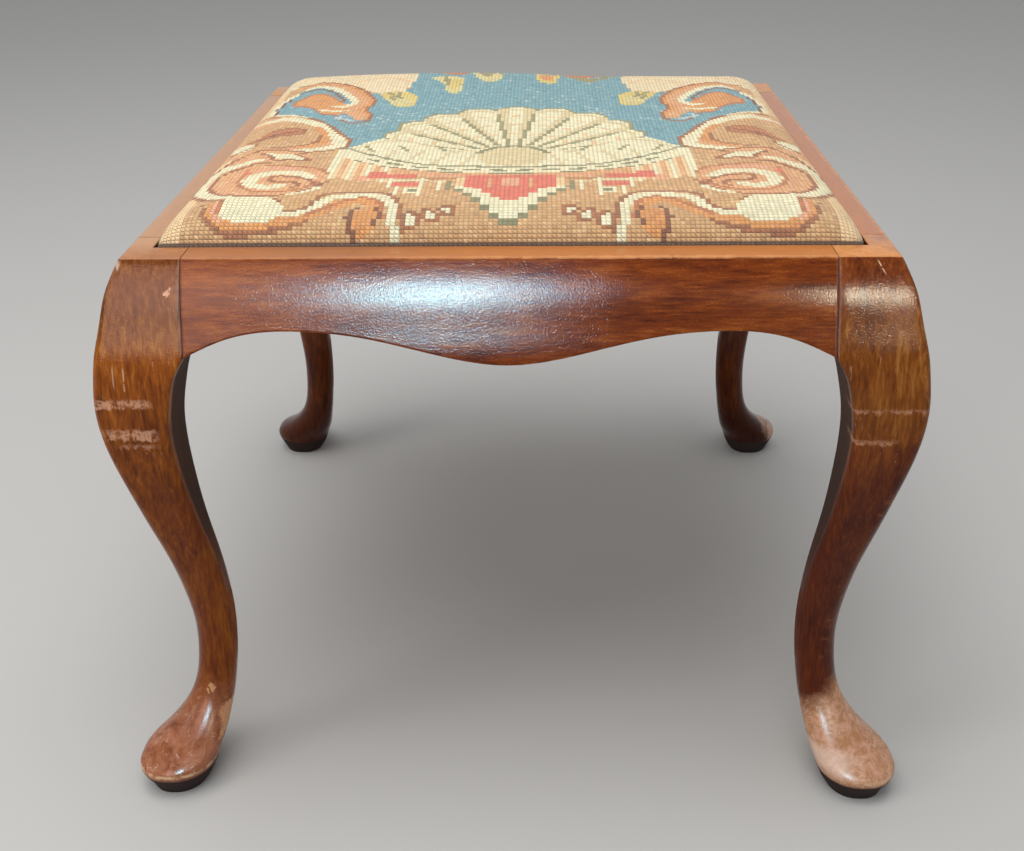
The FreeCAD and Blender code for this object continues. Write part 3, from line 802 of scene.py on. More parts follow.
# The wools, before dust and shade.
WOOL = {
    "ground": srgb(226, 176, 118),
    "sand": srgb(255, 216, 160),
    "cloud": srgb(255, 234, 190),
    "shadow": srgb(192, 142, 100),
    "peach": srgb(240, 176, 120),
    "orange": srgb(240, 164, 90),
    "rust": srgb(208, 130, 78),
    "brown": srgb(174, 112, 68),
    "umber": srgb(146, 90, 56),
    "cream": srgb(255, 246, 204),
    "ivory": srgb(240, 220, 168),
    "olive": srgb(150, 146, 104),
    "moss": srgb(168, 160, 112),
    "lemon": srgb(238, 222, 156),
    "blue": srgb(128, 176, 186),
    "sky": srgb(146, 188, 194),
    "teal": srgb(108, 160, 174),
    "mist": srgb(198, 218, 218),
    "rose": srgb(242, 124, 98),
    "blush": srgb(248, 180, 140),
    "yellow": srgb(240, 214, 124),
}

# The needlework's drawing, in millimetres from the seat's middle, on its right half, which is
# mirrored: closed outlines, each filled with one wool.
FIELD = (
    (0, 222), (88, 222), (95, 196), (92, 164), (97, 134), (100, 116), (122, 113), (136, 120),
    (152, 137), (176, 150), (194, 134), (203, 114), (207, 92), (205, 68), (192, 49), (174, 37),
    (158, 22), (146, 4), (136, -12), (127, -32), (125, -52), (60, -60), (0, -60),
)
BACK_CORNER = (
    (88, 222), (95, 196), (92, 164), (97, 134), (101, 118), (122, 115), (136, 122), (152, 140),
    (176, 156), (196, 154), (212, 140), (226, 128), (226, 222),
)
LEAF = (
    (222, 46), (204, 47), (188, 43), (172, 33), (156, 18), (145, 1), (137, -14), (128, -30),
    (125, -45), (131, -57), (150, -65), (172, -62), (196, -64), (222, -80),
)
LEAF_HEART = (
    (214, 18), (196, 22), (176, 19), (158, 8), (149, -10), (146, -30), (154, -46), (176, -54),
    (204, -56), (218, -30),
)
LEAF_HOLLOW = (
    (166, -3), (176, 0), (190, -4), (200, -18), (208, -30), (194, -27), (180, -20), (168, -15),
)
LEAF_TIP = (
    (217, -36), (206, -33), (197, -40), (199, -48), (204, -55), (214, -48),
)
HEAD = (
    (196, -64), (176, -60), (158, -66), (146, -84), (152, -90), (172, -92), (190, -98), (206, -92),
    (206, -76),
)
HEAD_LIGHT = (
    (181, -69), (166, -71), (152, -80), (150, -85), (164, -86), (176, -80),
)
VOLUTE = (
    (192, -98), (204, -112), (208, -130), (204, -148), (194, -163), (178, -172), (160, -172), (143, -165),
    (131, -152), (126, -138), (129, -120), (142, -106), (160, -101), (176, -100),
)
UPPER_HEAD = (
    (149, 84), (157, 99), (168, 112), (180, 115), (190, 105), (191, 88), (183, 77), (172, 68),
    (164, 52), (148, 44), (140, 60), (142, 74),
)
TILE = (
    (186, -181), (150, -181), (146, -199), (184, -200),
)
FOOT_BLOB = (
    (99, -195), (92, -191), (85, -195), (83, -206), (88, -214), (97, -214), (101, -205),
)

# The flower under each back corner: its outline, veins and lighter middle.
BUD = (
    (122, 114), (116, 100), (110, 86), (104, 72), (96, 67), (89, 70), (86, 84), (87, 100),
    (92, 113), (106, 119),
)
BUD_VEINS = (
    ((114, 117), (108, 108), (104, 100)),
    ((104, 117), (103, 108), (101, 98)),
    ((110, 104), (107, 92)),
)
BUD_LIGHT = (
    (112, 96), (106, 80), (98, 72), (92, 76), (91, 92), (97, 100),
)

# The shell and the ribbon: the shell's hinge, its reach, the turn from rib to rib, the height of the
# bank that it lies on, half of a thin line, and the ribbon's outer end.
HINGE = -78
SHELL_REACH = 140
LOBE = 0.26
BANK = -60
LINE = 1.7
RIBBON_END = 126

# Berries at the foot of the scrolls: place, half width, half height and lean in degrees.
BERRIES = ((62, -204, 3.4, 5.4, 0), (50, -200, 3.0, 5.0, -30), (39, -195, 2.8, 4.2, -20))
BERRY_RIM = 3.1

# Plain rows round the drawing start at these places.
SIDE_ROWS = 206
BACK_ROWS = 207.5
LAST_BACK_ROWS = 212.5
FRONT_ROWS = -217.0

# Tassels and small blocks under the ribbon: outer edge, top edge, width, height and wool.
TASSELS = (
    (98, -118, 13, 14, "rose"),
    (92, -124, 26, 9, "rose"),
    (104, -126, 5, 12, "blush"),
    (81, -142, 22, 8, "rose"),
    (84, -134, 4, 20, "cream"),
    (80, -136, 24, 3, "cream"),
    (58, -127, 23, 3, "blush"),
    (58, -132, 23, 3, "rust"),
    (62, -134, 3, 40, "cream"),
    (56, -138, 14, 3, "ivory"),
    (76, -152, 3, 18, "cream"),
    (70, -156, 9, 10, "cream"),
    (67, -158, 4, 6, "olive"),
    (48, -140, 3, 22, "cream"),
    (44, -138, 3, 24, "olive"),
    (36, -134, 4, 24, "sand"),
)

# The garland along the back. It isn't mirrored: outlines and then stems.
GARLAND = (
    (((-172, 222), (-168, 212), (-140, 207), (-108, 207), (-96, 214), (-96, 224)), "lemon"),
    (((78, 224), (80, 208), (96, 200), (112, 203), (128, 210), (130, 224)), "yellow"),
    (((-92, 224), (-90, 206), (-82, 190), (-70, 178), (-56, 172), (-46, 180), (-40, 196),
        (-38, 224)), "moss"),
    (((-84, 222), (-80, 204), (-70, 198), (-62, 206), (-54, 198), (-46, 206), (-44, 222)), "lemon"),
    (((-76, 192), (-68, 178), (-58, 172), (-48, 180), (-46, 192), (-56, 198), (-68, 200)), "rust"),
    (((-70, 194), (-62, 184), (-54, 186), (-52, 196), (-60, 200)), "peach"),
    (((-80, 162), (-72, 150), (-66, 136), (-62, 118), (-56, 111), (-51, 118), (-51, 140),
        (-50, 160), (-57, 166), (-70, 168)), "lemon"),
    (((-62, 160), (-61, 138), (-58, 122), (-54, 130), (-53, 154)), "yellow"),
    (((-44, 196), (-42, 176), (-36, 158), (-28, 148), (-20, 152), (-16, 170), (-18, 190),
        (-28, 200)), "lemon"),
    (((-38, 190), (-36, 176), (-30, 168), (-24, 176), (-24, 190)), "moss"),
    (((-12, 222), (-12, 204), (-4, 190), (8, 188), (14, 200), (14, 222)), "lemon"),
    (((-6, 212), (0, 198), (8, 204), (8, 214)), "moss"),
    (((12, 190), (16, 168), (22, 148), (30, 146), (34, 160), (36, 184), (26, 192)), "yellow"),
    (((19, 180), (22, 160), (27, 156), (29, 176)), "orange"),
    (((24, 224), (28, 200), (38, 182), (52, 171), (66, 174), (78, 188), (84, 208), (86, 224)), "rust"),
    (((30, 222), (34, 202), (44, 188), (56, 182), (68, 190), (76, 206), (78, 222)), "peach"),
    (((42, 216), (46, 202), (56, 196), (66, 204), (68, 216)), "moss"),
    (((49, 214), (55, 204), (61, 212)), "cream"),
    (((44, 172), (54, 162), (64, 152), (70, 158), (78, 166), (84, 176), (70, 170), (58, 172)), "moss"),
    (((72, 178), (84, 172), (92, 178), (88, 186), (78, 186)), "moss"),
)
STEMS = (
    (((-112, 204), (-98, 200), (-86, 188), (-76, 180)), "moss", 3.6),
    (((-66, 170), (-65, 154), (-63, 138)), "moss", 4.0),
    (((-46, 184), (-30, 198), (-12, 200), (2, 206), (16, 202), (26, 206)), "olive", 3.4),
    (((-8, 194), (-16, 182), (-14, 172)), "moss", 3.0),
    (((34, 196), (30, 180), (22, 178)), "olive", 3.0),
)

# Lines: each has its wool and its width.
STROKES = (
    # The leaf's light edge, shaded side, veins and outline.
    (((214, 34), (196, 35), (178, 28), (162, 17), (151, 2), (142, -18), (134, -34), (132, -48),
        (142, -58), (160, -60)), "cream", 11.5),
    (((160, 6), (152, -6), (147, -22), (144, -36), (150, -46), (162, -53)), "orange", 7.0),
    (((151, -18), (150, -34), (154, -43), (164, -50), (180, -55)), "brown", 3.2),
    (((222, 50), (204, 50), (188, 46), (172, 36), (156, 21), (145, 4), (137, -12), (127, -29),
        (124, -45), (130, -57), (140, -62), (152, -66)), "brown", 3.2),
    (((208, -31), (194, -28), (180, -21), (167, -15), (165, -4), (176, 1), (190, -4)), "brown", 3.4),
    (((196, -26), (184, -16), (172, -8)), "umber", 3.2),
    (((212, -56), (204, -50), (198, -43), (197, -36)), "brown", 3.0),
    # The head above the volute.
    (((152, -66), (166, -62), (184, -60), (196, -66), (206, -80), (213, -98),
        (218, -112)), "brown", 3.4),
    (((152, -67), (158, -73), (150, -82), (147, -89), (160, -86), (172, -87), (176, -79),
        (184, -71)), "brown", 3.2),
    # The volute's light band, outer line and swirl.
    (((180, -87), (194, -89), (205, -97), (213, -114), (214, -134), (206, -155), (192, -169),
        (174, -177), (158, -176)), "cream", 9.0),
    (((173, -94), (190, -97), (201, -108), (206, -124), (206, -140), (200, -154), (190, -165),
        (176, -172), (160, -172), (144, -166), (132, -154), (126, -141)), "brown", 3.2),
    (((216, -108), (220, -128), (216, -150), (204, -168), (188, -179), (170, -182),
        (152, -178)), "brown", 3.0),
    (((176, -101), (160, -102), (144, -106), (133, -113), (128, -122)), "rust", 3.4),
    (((150, -108), (166, -108), (178, -112)), "blush", 6.0),
    (((188, -106), (188, -124), (186, -140), (181, -152), (172, -161), (158, -163), (144, -158),
        (135, -149), (130, -140)), "rust", 3.4),
    (((136, -132), (146, -122), (160, -118), (173, -123), (179, -136), (175, -148), (163, -152),
        (153, -147)), "cream", 10.0),
    (((132, -146), (140, -134), (152, -128), (164, -128), (166, -135), (160, -140), (150, -140),
        (144, -146), (148, -154)), "brown", 3.2),
    (((186, -110), (185, -118)), "rose", 3.4),
    (((128, -152), (136, -162), (148, -169)), "cream", 5.0),
    # The foot's ribbon, with the tile in its fold.
    (((192, -182), (189, -198), (181, -207), (164, -208), (146, -206), (130, -201), (116, -190),
        (104, -180), (92, -180), (86, -190), (90, -204)), "orange", 9.5),
    (((191, -182), (188, -197), (183, -204)), "blush", 4.0),
    (((198, -182), (195, -200), (185, -211), (164, -213), (144, -211), (128, -206)), "brown", 3.4),
    (((186, -182), (184, -199), (178, -202)), "rust", 3.2),
    (((150, -196), (134, -196), (124, -184), (114, -174), (100, -171), (86, -173), (77, -182),
        (74, -198), (71, -216)), "cream", 7.5),
    (((150, -182), (147, -191), (134, -191), (127, -179), (121, -169), (104, -165), (86, -165),
        (76, -174), (70, -190), (67, -212)), "brown", 3.2),
    (((128, -198), (114, -184), (103, -177), (90, -177), (83, -185), (80, -202)), "rust", 3.2),
    (((98, -190), (102, -202), (97, -216)), "umber", 3.2),
    (((86, -190), (82, -200), (86, -208)), "umber", 3.0),
    # The upper scroll: its band, light, shade and outline.
    (((196, 145), (180, 146), (164, 139), (149, 124), (138, 106), (132, 84), (132, 66), (136, 56),
        (130, 42), (128, 28)), "peach", 15.5),
    (((192, 139), (178, 140), (164, 132), (152, 116), (143, 98), (140, 80), (146, 70),
        (158, 74)), "cream", 7.0),
    (((198, 151), (180, 151), (164, 146), (149, 134), (136, 117), (128, 98), (126, 76), (130, 58),
        (123, 44), (122, 28)), "orange", 4.5),
    (((200, 155), (178, 155), (162, 149), (147, 137), (133, 119), (125, 99), (122, 76), (126, 60),
        (120, 44), (119, 28), (127, 16), (138, 20), (144, 33), (152, 43), (164, 47)), "brown", 3.0),
    (((194, 129), (178, 131), (166, 124), (156, 109), (150, 94), (149, 84)), "umber", 3.0),
    (((149, 84), (158, 100), (168, 113), (181, 116), (191, 106), (192, 88), (183, 76), (172, 66),
        (164, 52)), "rust", 3.2),
    (((166, 62), (152, 56), (140, 58)), "cream", 5.0),
    (((140, 40), (146, 32), (138, 28), (132, 22)), "mist", 4.0),
    (((206, 58), (208, 76), (206, 98), (202, 114), (194, 130)), "cream", 5.0),
    (((202, 60), (204, 78), (202, 98), (198, 112)), "umber", 2.6),
    (((200, 56), (188, 46), (172, 36)), "cream", 3.5),
    # Folds of the back corners.
    (((206, 214), (196, 190), (206, 170), (222, 160)), "sand", 4.0),
    (((160, 216), (150, 192), (166, 172), (190, 174)), "sand", 4.0),
    (((100, 150), (116, 164), (134, 160), (146, 146)), "sand", 4.0),
    (((96, 196), (112, 190), (128, 196)), "sand", 4.0),
)


class Chart:
    """The colours of the canvas, one to a stitch, painted in layers."""

    def __init__(self, across, up, wools):
        self.signed = across
        self.across = np.abs(across)
        self.up = up
        self.wools = wools
        self.colour = np.empty((len(across), 4))
        self.colour[:] = wools["ground"]

    def paint(self, mask, wool, share=1.0):
        self.colour[mask] += (np.array(self.wools[wool]) - self.colour[mask]) * share

    def worked_in(self, wool):
        """Which stitches are still in one wool."""
        return np.abs(self.colour - self.wools[wool]).max(axis=1) < 1e-6

    def within(self, outline, mirrored=True):
        """Which stitches lie inside a smooth closed outline."""
        across = self.across if mirrored else self.signed
        path = smooth_through([(x, y, 0.0) for x, y in (*outline, outline[0])], 180)[:, :2]
        (x0, y0), (x1, y1) = path[:-1].T, path[1:].T
        up = self.up[:, None]
        crossing = (y0 > up) != (y1 > up)
        at = x0 + (up - y0) * (x1 - x0) / np.where(y1 == y0, 1.0, y1 - y0)
        return (crossing & (across[:, None] < at)).sum(1) % 2 == 1

    def stroke(self, line, wool, width, mirrored=True):
        """A line of one wool, tapered towards its two ends."""
        across = self.across if mirrored else self.signed
        path = smooth_through([(x, y, 0.0) for x, y in line], 60)[:, :2]
        start, step = path[:-1], np.diff(path, axis=0)
        offset = np.stack([across, self.up], axis=1)[:, None] - start
        share = np.clip((offset * step).sum(2) / (step**2).sum(1), 0, 1)
        length = np.linalg.norm(offset - share[..., None] * step, axis=2)
        nearest = length.argmin(1)
        rows = np.arange(len(nearest))
        along = (nearest + share[rows, nearest]) / len(step)
        half = np.maximum(1.5, width / 2 * np.interp(along, (0, 0.1, 0.9, 1), (0.45, 1, 1, 0.45)))
        self.paint(length[rows, nearest] < half, wool)

    def berry(self, x, y, wide, tall, turn):
        """A pale berry with a dark edge, leaning by a turn."""
        lean = math.radians(turn)
        along = (self.across - x) * math.cos(lean) + (self.up - y) * math.sin(lean)
        aside = (self.up - y) * math.cos(lean) - (self.across - x) * math.sin(lean)
        self.paint(np.hypot(along / (wide + BERRY_RIM), aside / (tall + BERRY_RIM)) < 1, "brown")
        self.paint(np.hypot(along / wide, aside / tall) < 1, "cream")


def draw_canvas(across, up, wools):
    """The whole canvas: scrolls round a blue field, with a shell and sprays of flowers in it."""
    chart = Chart(across, up, wools)
    x, y = chart.across, chart.up
    chart.paint(x > SIDE_ROWS, "sand")
    chart.paint(chart.within(FIELD), "blue")
    chart.paint(chart.within(BACK_CORNER), "cloud")
    draw_shell(chart)
    draw_ribbon(chart)
    for outline, wool in (
        (LEAF, "peach"),
        (LEAF_HEART, "ground"),
        (LEAF_HOLLOW, "rust"),
        (LEAF_TIP, "cream"),
        (HEAD, "peach"),
        (HEAD_LIGHT, "cream"),
        (VOLUTE, "peach"),
        (UPPER_HEAD, "orange"),
        (FOOT_BLOB, "orange"),
    ):
        chart.paint(chart.within(outline), wool)
    for line, wool, width in STROKES:
        chart.stroke(line, wool, width)
    chart.paint(chart.within(TILE), "cream")
    for berry in BERRIES:
        chart.berry(*berry)
    draw_garland(chart)
    chart.paint(y > BACK_ROWS, "sand")
    chart.paint(y > LAST_BACK_ROWS, "ground")
    chart.paint(y < FRONT_ROWS, "shadow")
    draw_mixed_wool(chart)
    draw_flecks(chart)
    return chart.colour


def draw_mixed_wool(chart):
    """Single stitches of a near colour, as hand-dyed wool gives."""
    chance = np.random.default_rng(5).random(len(chart.up))
    for wool, low, high, other in (
        ("peach", 0.00, 0.16, "blush"),
        ("peach", 0.84, 1.00, "sand"),
        ("ground", 0.00, 0.12, "sand"),
        ("ground", 0.88, 1.00, "shadow"),
        ("cream", 0.00, 0.10, "cloud"),
        ("cream", 0.94, 1.00, "ivory"),
        ("orange", 0.00, 0.16, "peach"),
        ("orange", 0.88, 1.00, "rust"),
        ("brown", 0.00, 0.18, "rust"),
        ("brown", 0.88, 1.00, "umber"),
        ("cloud", 0.00, 0.14, "sand"),
        ("moss", 0.00, 0.20, "olive"),
    ):
        same = chart.worked_in(wool)
        chart.paint(same & (chance >= low) & (chance < high), other, 0.4)


def draw_flecks(chart):
    """White ends of wool that show through the blue, in loose clusters."""
    clusters = (
        (-75, 52, 18), (-140, 44, 10), (-22, 60, 18), (34, 84, 12),
        (64, 44, 14), (112, 58, 12), (-104, 18, 14),
    )
    blue = chart.worked_in("blue")
    crowd = np.zeros(len(blue))
    for x, y, spread in clusters:
        crowd += np.exp(-((chart.signed - x) ** 2 + (chart.up - y) ** 2) / spread**2)
    chance = np.random.default_rng(11).random(len(blue))
    chart.paint(blue & (chance < 0.008 + 0.13 * crowd), "mist")
    chart.paint(blue & (chance > 0.90), "teal")
    chart.paint(blue & (chance < 0.88) & (chance > 0.72), "sky")


def draw_shell(chart):
    """A ribbed shell on a bank of leaves, in the middle of the field."""
    x, y = chart.across, chart.up
    bank = BANK + 26 * np.abs(np.cos(x / 27.0)) + 10 * np.exp(-((x - 96) / 22) ** 2)
    low = -57 - 50 * np.sqrt(np.clip(1 - (x / RIBBON_END) ** 2, 0, 1))
    inside = x < RIBBON_END + 1
    chart.paint(inside & (y < bank) & (y > low), "cream")
    chart.paint(inside & (y < bank - 7) & (y > bank - 10.5), "ivory")
    chart.paint(inside & (y < BANK - 2) & (y > low) & (np.mod(x + 0.35 * y, 21) < 3.2), "ivory")
    chart.paint((x < 118) & (y < BANK + 10) & (y > BANK - 6) & (np.mod(x - 0.5 * y, 27) < 3.2), "moss")
    turn = np.arctan2(x, y - HINGE)
    out = np.hypot(x, y - HINGE)
    lobe = turn / LOBE + 0.5
    rib = np.abs(lobe - np.round(lobe)) * LOBE * out
    scallop = 0.93 + 0.07 * np.abs(np.sin(math.pi * lobe))
    edge = SHELL_REACH * scallop * np.cos(np.clip(turn, 0, 1.2)) ** 0.30
    shell = (out < edge) & (turn < 1.12) & (y > low)
    chart.paint((out < edge + 3.2) & (turn < 1.15) & (y > bank - 6), "moss")
    chart.paint(shell, "cream")
    chart.paint(shell & (lobe % 1 > 0.70), "ivory")
    chart.paint(shell & (out > edge - 9) & (out < edge - 5), "ivory")
    chart.paint(shell & (rib < LINE) & (out > 30) & (out < edge - 12) & (y > BANK), "moss")
    for share in (0.44, 0.62, 0.80):
        growth = np.abs(out - share * edge) < LINE
        chart.paint(shell & growth & (lobe % 1 < 0.66) & (lobe % 1 > 0.3), "sand")
    chart.paint((out < 26) & (y > low), "ivory")
    chart.paint((np.abs(out - 26) < 1.8) & (y > -70), "olive")


def draw_ribbon(chart):
    """The curved ribbon under the field, and the flutes, dashes and shield below it."""
    x, y = chart.across, chart.up
    top = np.interp(x, (0, 48, 65, 80, 95, 110, 126), (-107, -103, -99, -91, -81, -69, -55))
    foot = np.interp(x, (0, 45, 70, 90, 110, 126), (-123, -120, -113, -105, -92, -78))
    inside = x < RIBBON_END
    below = inside & (y < foot)
    chart.paint(inside & (y < top) & (y > foot), "cream")
    for edge in (top, foot):
        chart.paint(inside & (np.abs(y - edge) < LINE), "olive")
    dashes = np.mod(x + 3.1, 18.6) > 6.2
    chart.paint((x < 104) & (np.abs(y - (top + foot) / 2) < LINE) & dashes, "olive")
    flute = below & (x > 84) & (y > -142 + 0.25 * (x - 84))
    chart.paint(flute, "sand")
    chart.paint(flute & (np.mod(x, 12.4) < 3.2), "cream")
    chart.paint(flute & (np.mod(x + 6.2, 12.4) < 3.2), "peach")
    chart.paint((np.abs(x - 127.5) < LINE) & (y < -60) & (y > -142), "cream")
    chart.paint(below & (x < 84) & (y > -128), "peach")
    for outer, top_edge, wide, tall, wool in TASSELS:
        chart.paint((x < outer) & (x > outer - wide) & (y < top_edge) & (y > top_edge - tall), wool)
    # A stepped shield with a light edge hangs in the middle.
    step = np.floor(x / 6.2) * 6.2
    chart.paint((y < foot - 30) & (y > -208) & (step < (y + 214) * 0.62) & (x < 42), "olive")
    chart.paint((y < foot - 30) & (y > -204) & (step < (y + 208) * 0.60) & (x < 38), "cream")
    chart.paint((x < 30) & (y < -126) & (y > -158), "cream")
    chart.paint((x < 30) & (x > 25) & (y < -128) & (y > -156), "rose")
    chart.paint((step < 19 - np.clip(-158 - y, 0, 40) * 0.75) & (y < -128) & (y > -186), "rose")
    chart.paint((x < 7) & (y < -134) & (y > -150), "blush")
    chart.paint((x < 16) & (x > 11) & (y < -132) & (y > -156), "peach")


def draw_garland(chart):
    """Blooms, leaves and hanging petals along the back of the field."""
    for outline, wool in GARLAND:
        chart.paint(chart.within(outline, False), wool)
    for line, wool, width in STEMS:
        chart.stroke(line, wool, width, False)
    chart.paint(chart.within(BUD), "yellow")
    chart.paint(chart.within(BUD_LIGHT), "lemon")
    for line in BUD_VEINS:
        chart.stroke(line, "moss", 3.4)


# The seat: its rolled edge, the plump place near its back left, its raised back and its hollow middle.
ROLL = 0.026
ROLL_RISE = 0.0150
PLUMP_RISE = 0.0044
BACK_RISE = 0.0022
DISH = 0.0006
SHOULDER = FRAME_TOP + 0.001
SEAT_CORNER = 0.003
CORNER_SPREAD = 0.3
HEM = 0.027
COVER_THICKNESS = 0.0016
MOST_FILLING = 0.003
MILLIMETRES = 1000
ON_RIM = 1e-5
CLOTH = {
    "vertex_group_mass": "held", "quality": 5, "mass": 0.4, "tension_stiffness": 40,
    "compression_stiffness": 40, "shear_stiffness": 20, "bending_stiffness": 6,
    "use_pressure": True, "uniform_pressure_force": 4.0,
}


def roll_table():
    """The seat's rolled edge: its length, and how far out and down it is along that."""
    turn = np.linspace(0, math.pi / 2, 240)
    out = ROLL * np.sin(turn)
    drop = ROLL_RISE * (1 - np.cos(turn))
    length = np.concatenate(([0.0], np.cumsum(np.hypot(np.diff(out), np.diff(drop)))))
    return length, out


def hump(value, middle, reach):
    """1 in the middle, and 0 from its reach outwards."""
    return max(0.0, 1 - ((value - middle) / reach) ** 2)


def seat_height(x, y):
    """The crowned seat's surface: a roll round its edge, low corners, a raised back."""
    rise = 1.0
    for inset in (COVER_HIGH.x - abs(x), COVER_HIGH.y - abs(y)):
        share = 1 - min(max(inset, 0.0), ROLL) / ROLL
        rise *= math.sqrt(max(0.0, 1 - share * share))
    dish = DISH * hump(x, 0, 0.20) * hump(y, 0, 0.20)
    back = BACK_RISE * hump(y, 0.12, 0.16) * hump(x, 0, 0.22)
    plump = PLUMP_RISE * hump(y, 0.200, 0.095) * hump(x, -0.095, 0.145)
    return SHOULDER + (ROLL_RISE + plump) * rise + back - dish


def values_of(rows, name, width=1, kind=float):
    """One property of a mesh's rows, as an array with a row for each."""
    values = np.empty(len(rows) * width, kind)
    rows.foreach_get(name, values)
    return values.reshape(-1, width) if width > 1 else values


class STOOL_OT_cover(bpy.types.Operator):
    """Makes the needlework cover, rolled over the stuffing and turned under the seat frame"""

    bl_idname = "stool.cover"
    bl_label = "Needlework cover"

    def execute(self, context):
        needlework = context.scene.stool_needlework
        bm = bmesh.new()
        self.canvas(bm, needlework.stitch)
        finished(bm, merge=1e-7, sharp_angle=70)
        cover = piece_from(bm, "needlework_cover", [self.finish()], "seat", ["seat_cover"])
        self.fill_out(context, cover, needlework.frames)
        self.subdivide(cover)
        self.work_canvas(cover, needlework)
        thicken(cover, COVER_THICKNESS)
        return {"FINISHED"}

    def canvas(self, bm, stitch):
        """The canvas over the seat: a grid whose faces are two stitches wide, down the sides and under."""
        length, out = roll_table()
        flat = np.array([COVER_HIGH.x - ROLL, COVER_HIGH.y - ROLL])
        spread = flat + length[-1]
        cells = np.round(spread / (2 * stitch)).astype(int)
        bmesh.ops.create_grid(bm, x_segments=2 * int(cells[0]), y_segments=2 * int(cells[1]), size=1.0)
        plan = [bm.verts.layers.float.new(name) for name in ("across", "up")]
        down = bm.verts.layers.float.new("down")
        for vert in bm.verts:
            for axis, layer in enumerate(plan):
                vert[layer] = vert.co[axis] * spread[axis]
        rim = [edge for edge in bm.edges if edge.is_boundary]
        side_drop = SHOULDER - COVER_LOW.z
        steps = [(side_drop * k / 3, 0.0) for k in (1, 2, 3)]
        steps += [(side_drop, HEM * k / 4) for k in (1, 2, 3, 4)]
        layers = []
        for lower, under in steps:
            fresh, rim = extruded(bm, rim)
            for vert in fresh:
                vert[down] = lower + under
            layers.append((fresh, lower, under))
        for vert in bm.verts:
            self.settle_vert(vert, [vert[layer] for layer in plan], flat, (length, out))
        for fresh, lower, under in layers:
            for vert in fresh:
                vert.co.z = SHOULDER - lower
                for axis, layer in enumerate(plan):
                    if abs(vert[layer]) > spread[axis] - ON_RIM:
                        place = vert.co[axis]
                        vert.co[axis] = place - math.copysign(min(under, abs(place)), place)
        self.order(bm, down)
        uv = bm.loops.layers.uv.new("canvas")
        for face in bm.faces:
            beyond = [all(abs(v[layer]) > spread[axis] - ON_RIM for v in face.verts)
                      for axis, layer in enumerate(plan)]
            for loop in face.loops:
                place = [loop.vert[layer] for layer in plan]
                if any(beyond):
                    axis = beyond.index(True)
                    place[axis] += math.copysign(loop.vert[down], place[axis])
                loop[uv].uv = [place[axis] / spread[axis] * cells[axis] * 2 for axis in (0, 1)]

    def order(self, bm, down):
        """Puts edges and faces in a fixed order, which the cloth and the dye follow. Extruding gives none."""
        def place(face):
            depth = max(vert[down] for vert in face.verts)
            centre = face.calc_center_median()
            return depth, math.atan2(centre.y, centre.x) if depth > 0 else 0.0

        bm.verts.index_update()
        ends = {edge: sorted(vert.index for vert in edge.verts) for edge in bm.edges}
        for rows, key in ((bm.edges, ends.get), (bm.faces, place)):
            for number, row in enumerate(sorted(rows, key=key)):
                row.index = number
            rows.sort()

    def settle_vert(self, vert, plan, flat, table):
        """Puts a point of the flat canvas on the rolled and crowned seat."""
        place = []
        for value, start in zip(plan, flat):
            over = abs(value) - start
            place.append(math.copysign(start + np.interp(over, *table), value) if over > 0 else value)
        x, y = place
        inset_x, inset_y = COVER_HIGH.x - abs(x), COVER_HIGH.y - abs(y)
        height = seat_height(x, y)
        radius = SEAT_CORNER + CORNER_SPREAD * min(inset_x, inset_y)
        over_x, over_y = radius - inset_x, radius - inset_y
        limit = radius - min(inset_x, inset_y, radius)
        far = math.hypot(over_x, over_y)
        if over_x > 0 and over_y > 0 and far > limit:
            x = math.copysign(abs(x) - over_x * (1 - limit / far), x)
            y = math.copysign(abs(y) - over_y * (1 - limit / far), y)
        vert.co = (x, y, height)

    def fill_out(self, context, cover, frames):
        """Fills the cover with Blender's cloth, held by its turned hem, and keeps the settled shape."""
        start = values_of(cover.data.vertices, "co", 3)
        held = cover.vertex_groups.new(name="held")
        for index in np.flatnonzero(start[:, 2] < FRAME_TOP - 0.001):
            held.add([int(index)], 1.0, "REPLACE")
        cloth = cover.modifiers.new("filling", "CLOTH")
        for name, value in CLOTH.items():
            setattr(cloth.settings, name, value)
        cloth.settings.effector_weights.gravity = 0.0
        cloth.point_cache.frame_start = 1
        cloth.point_cache.frame_end = frames
        for number in range(1, frames + 1):
            context.scene.frame_set(number)
        settled = cover.evaluated_get(context.evaluated_depsgraph_get())
        moved = values_of(settled.data.vertices, "co", 3) - start
        outward = values_of(cover.data.vertices, "normal", 3)
        moved = outward * np.clip((moved * outward).sum(1), 0.0, MOST_FILLING)[:, None]
        cover.modifiers.remove(cloth)
        cover.vertex_groups.clear()
        context.scene.frame_set(1)
        cover.data.vertices.foreach_set("co", (start + moved).astype(np.float32).ravel())
        cover.data.update()

    def subdivide(self, cover):
        """Halves the faces, so that each is one stitch."""
        finer = cover.modifiers.new("finer", "SUBSURF")
        finer.levels = finer.render_levels = 1
        finer.uv_smooth = "NONE"
        shown = cover.evaluated_get(bpy.context.evaluated_depsgraph_get())
        mesh = bpy.data.meshes.new_from_object(shown)
        cover.modifiers.remove(finer)
        cover.data = mesh
        for polygon in mesh.polygons:
            polygon.use_smooth = True

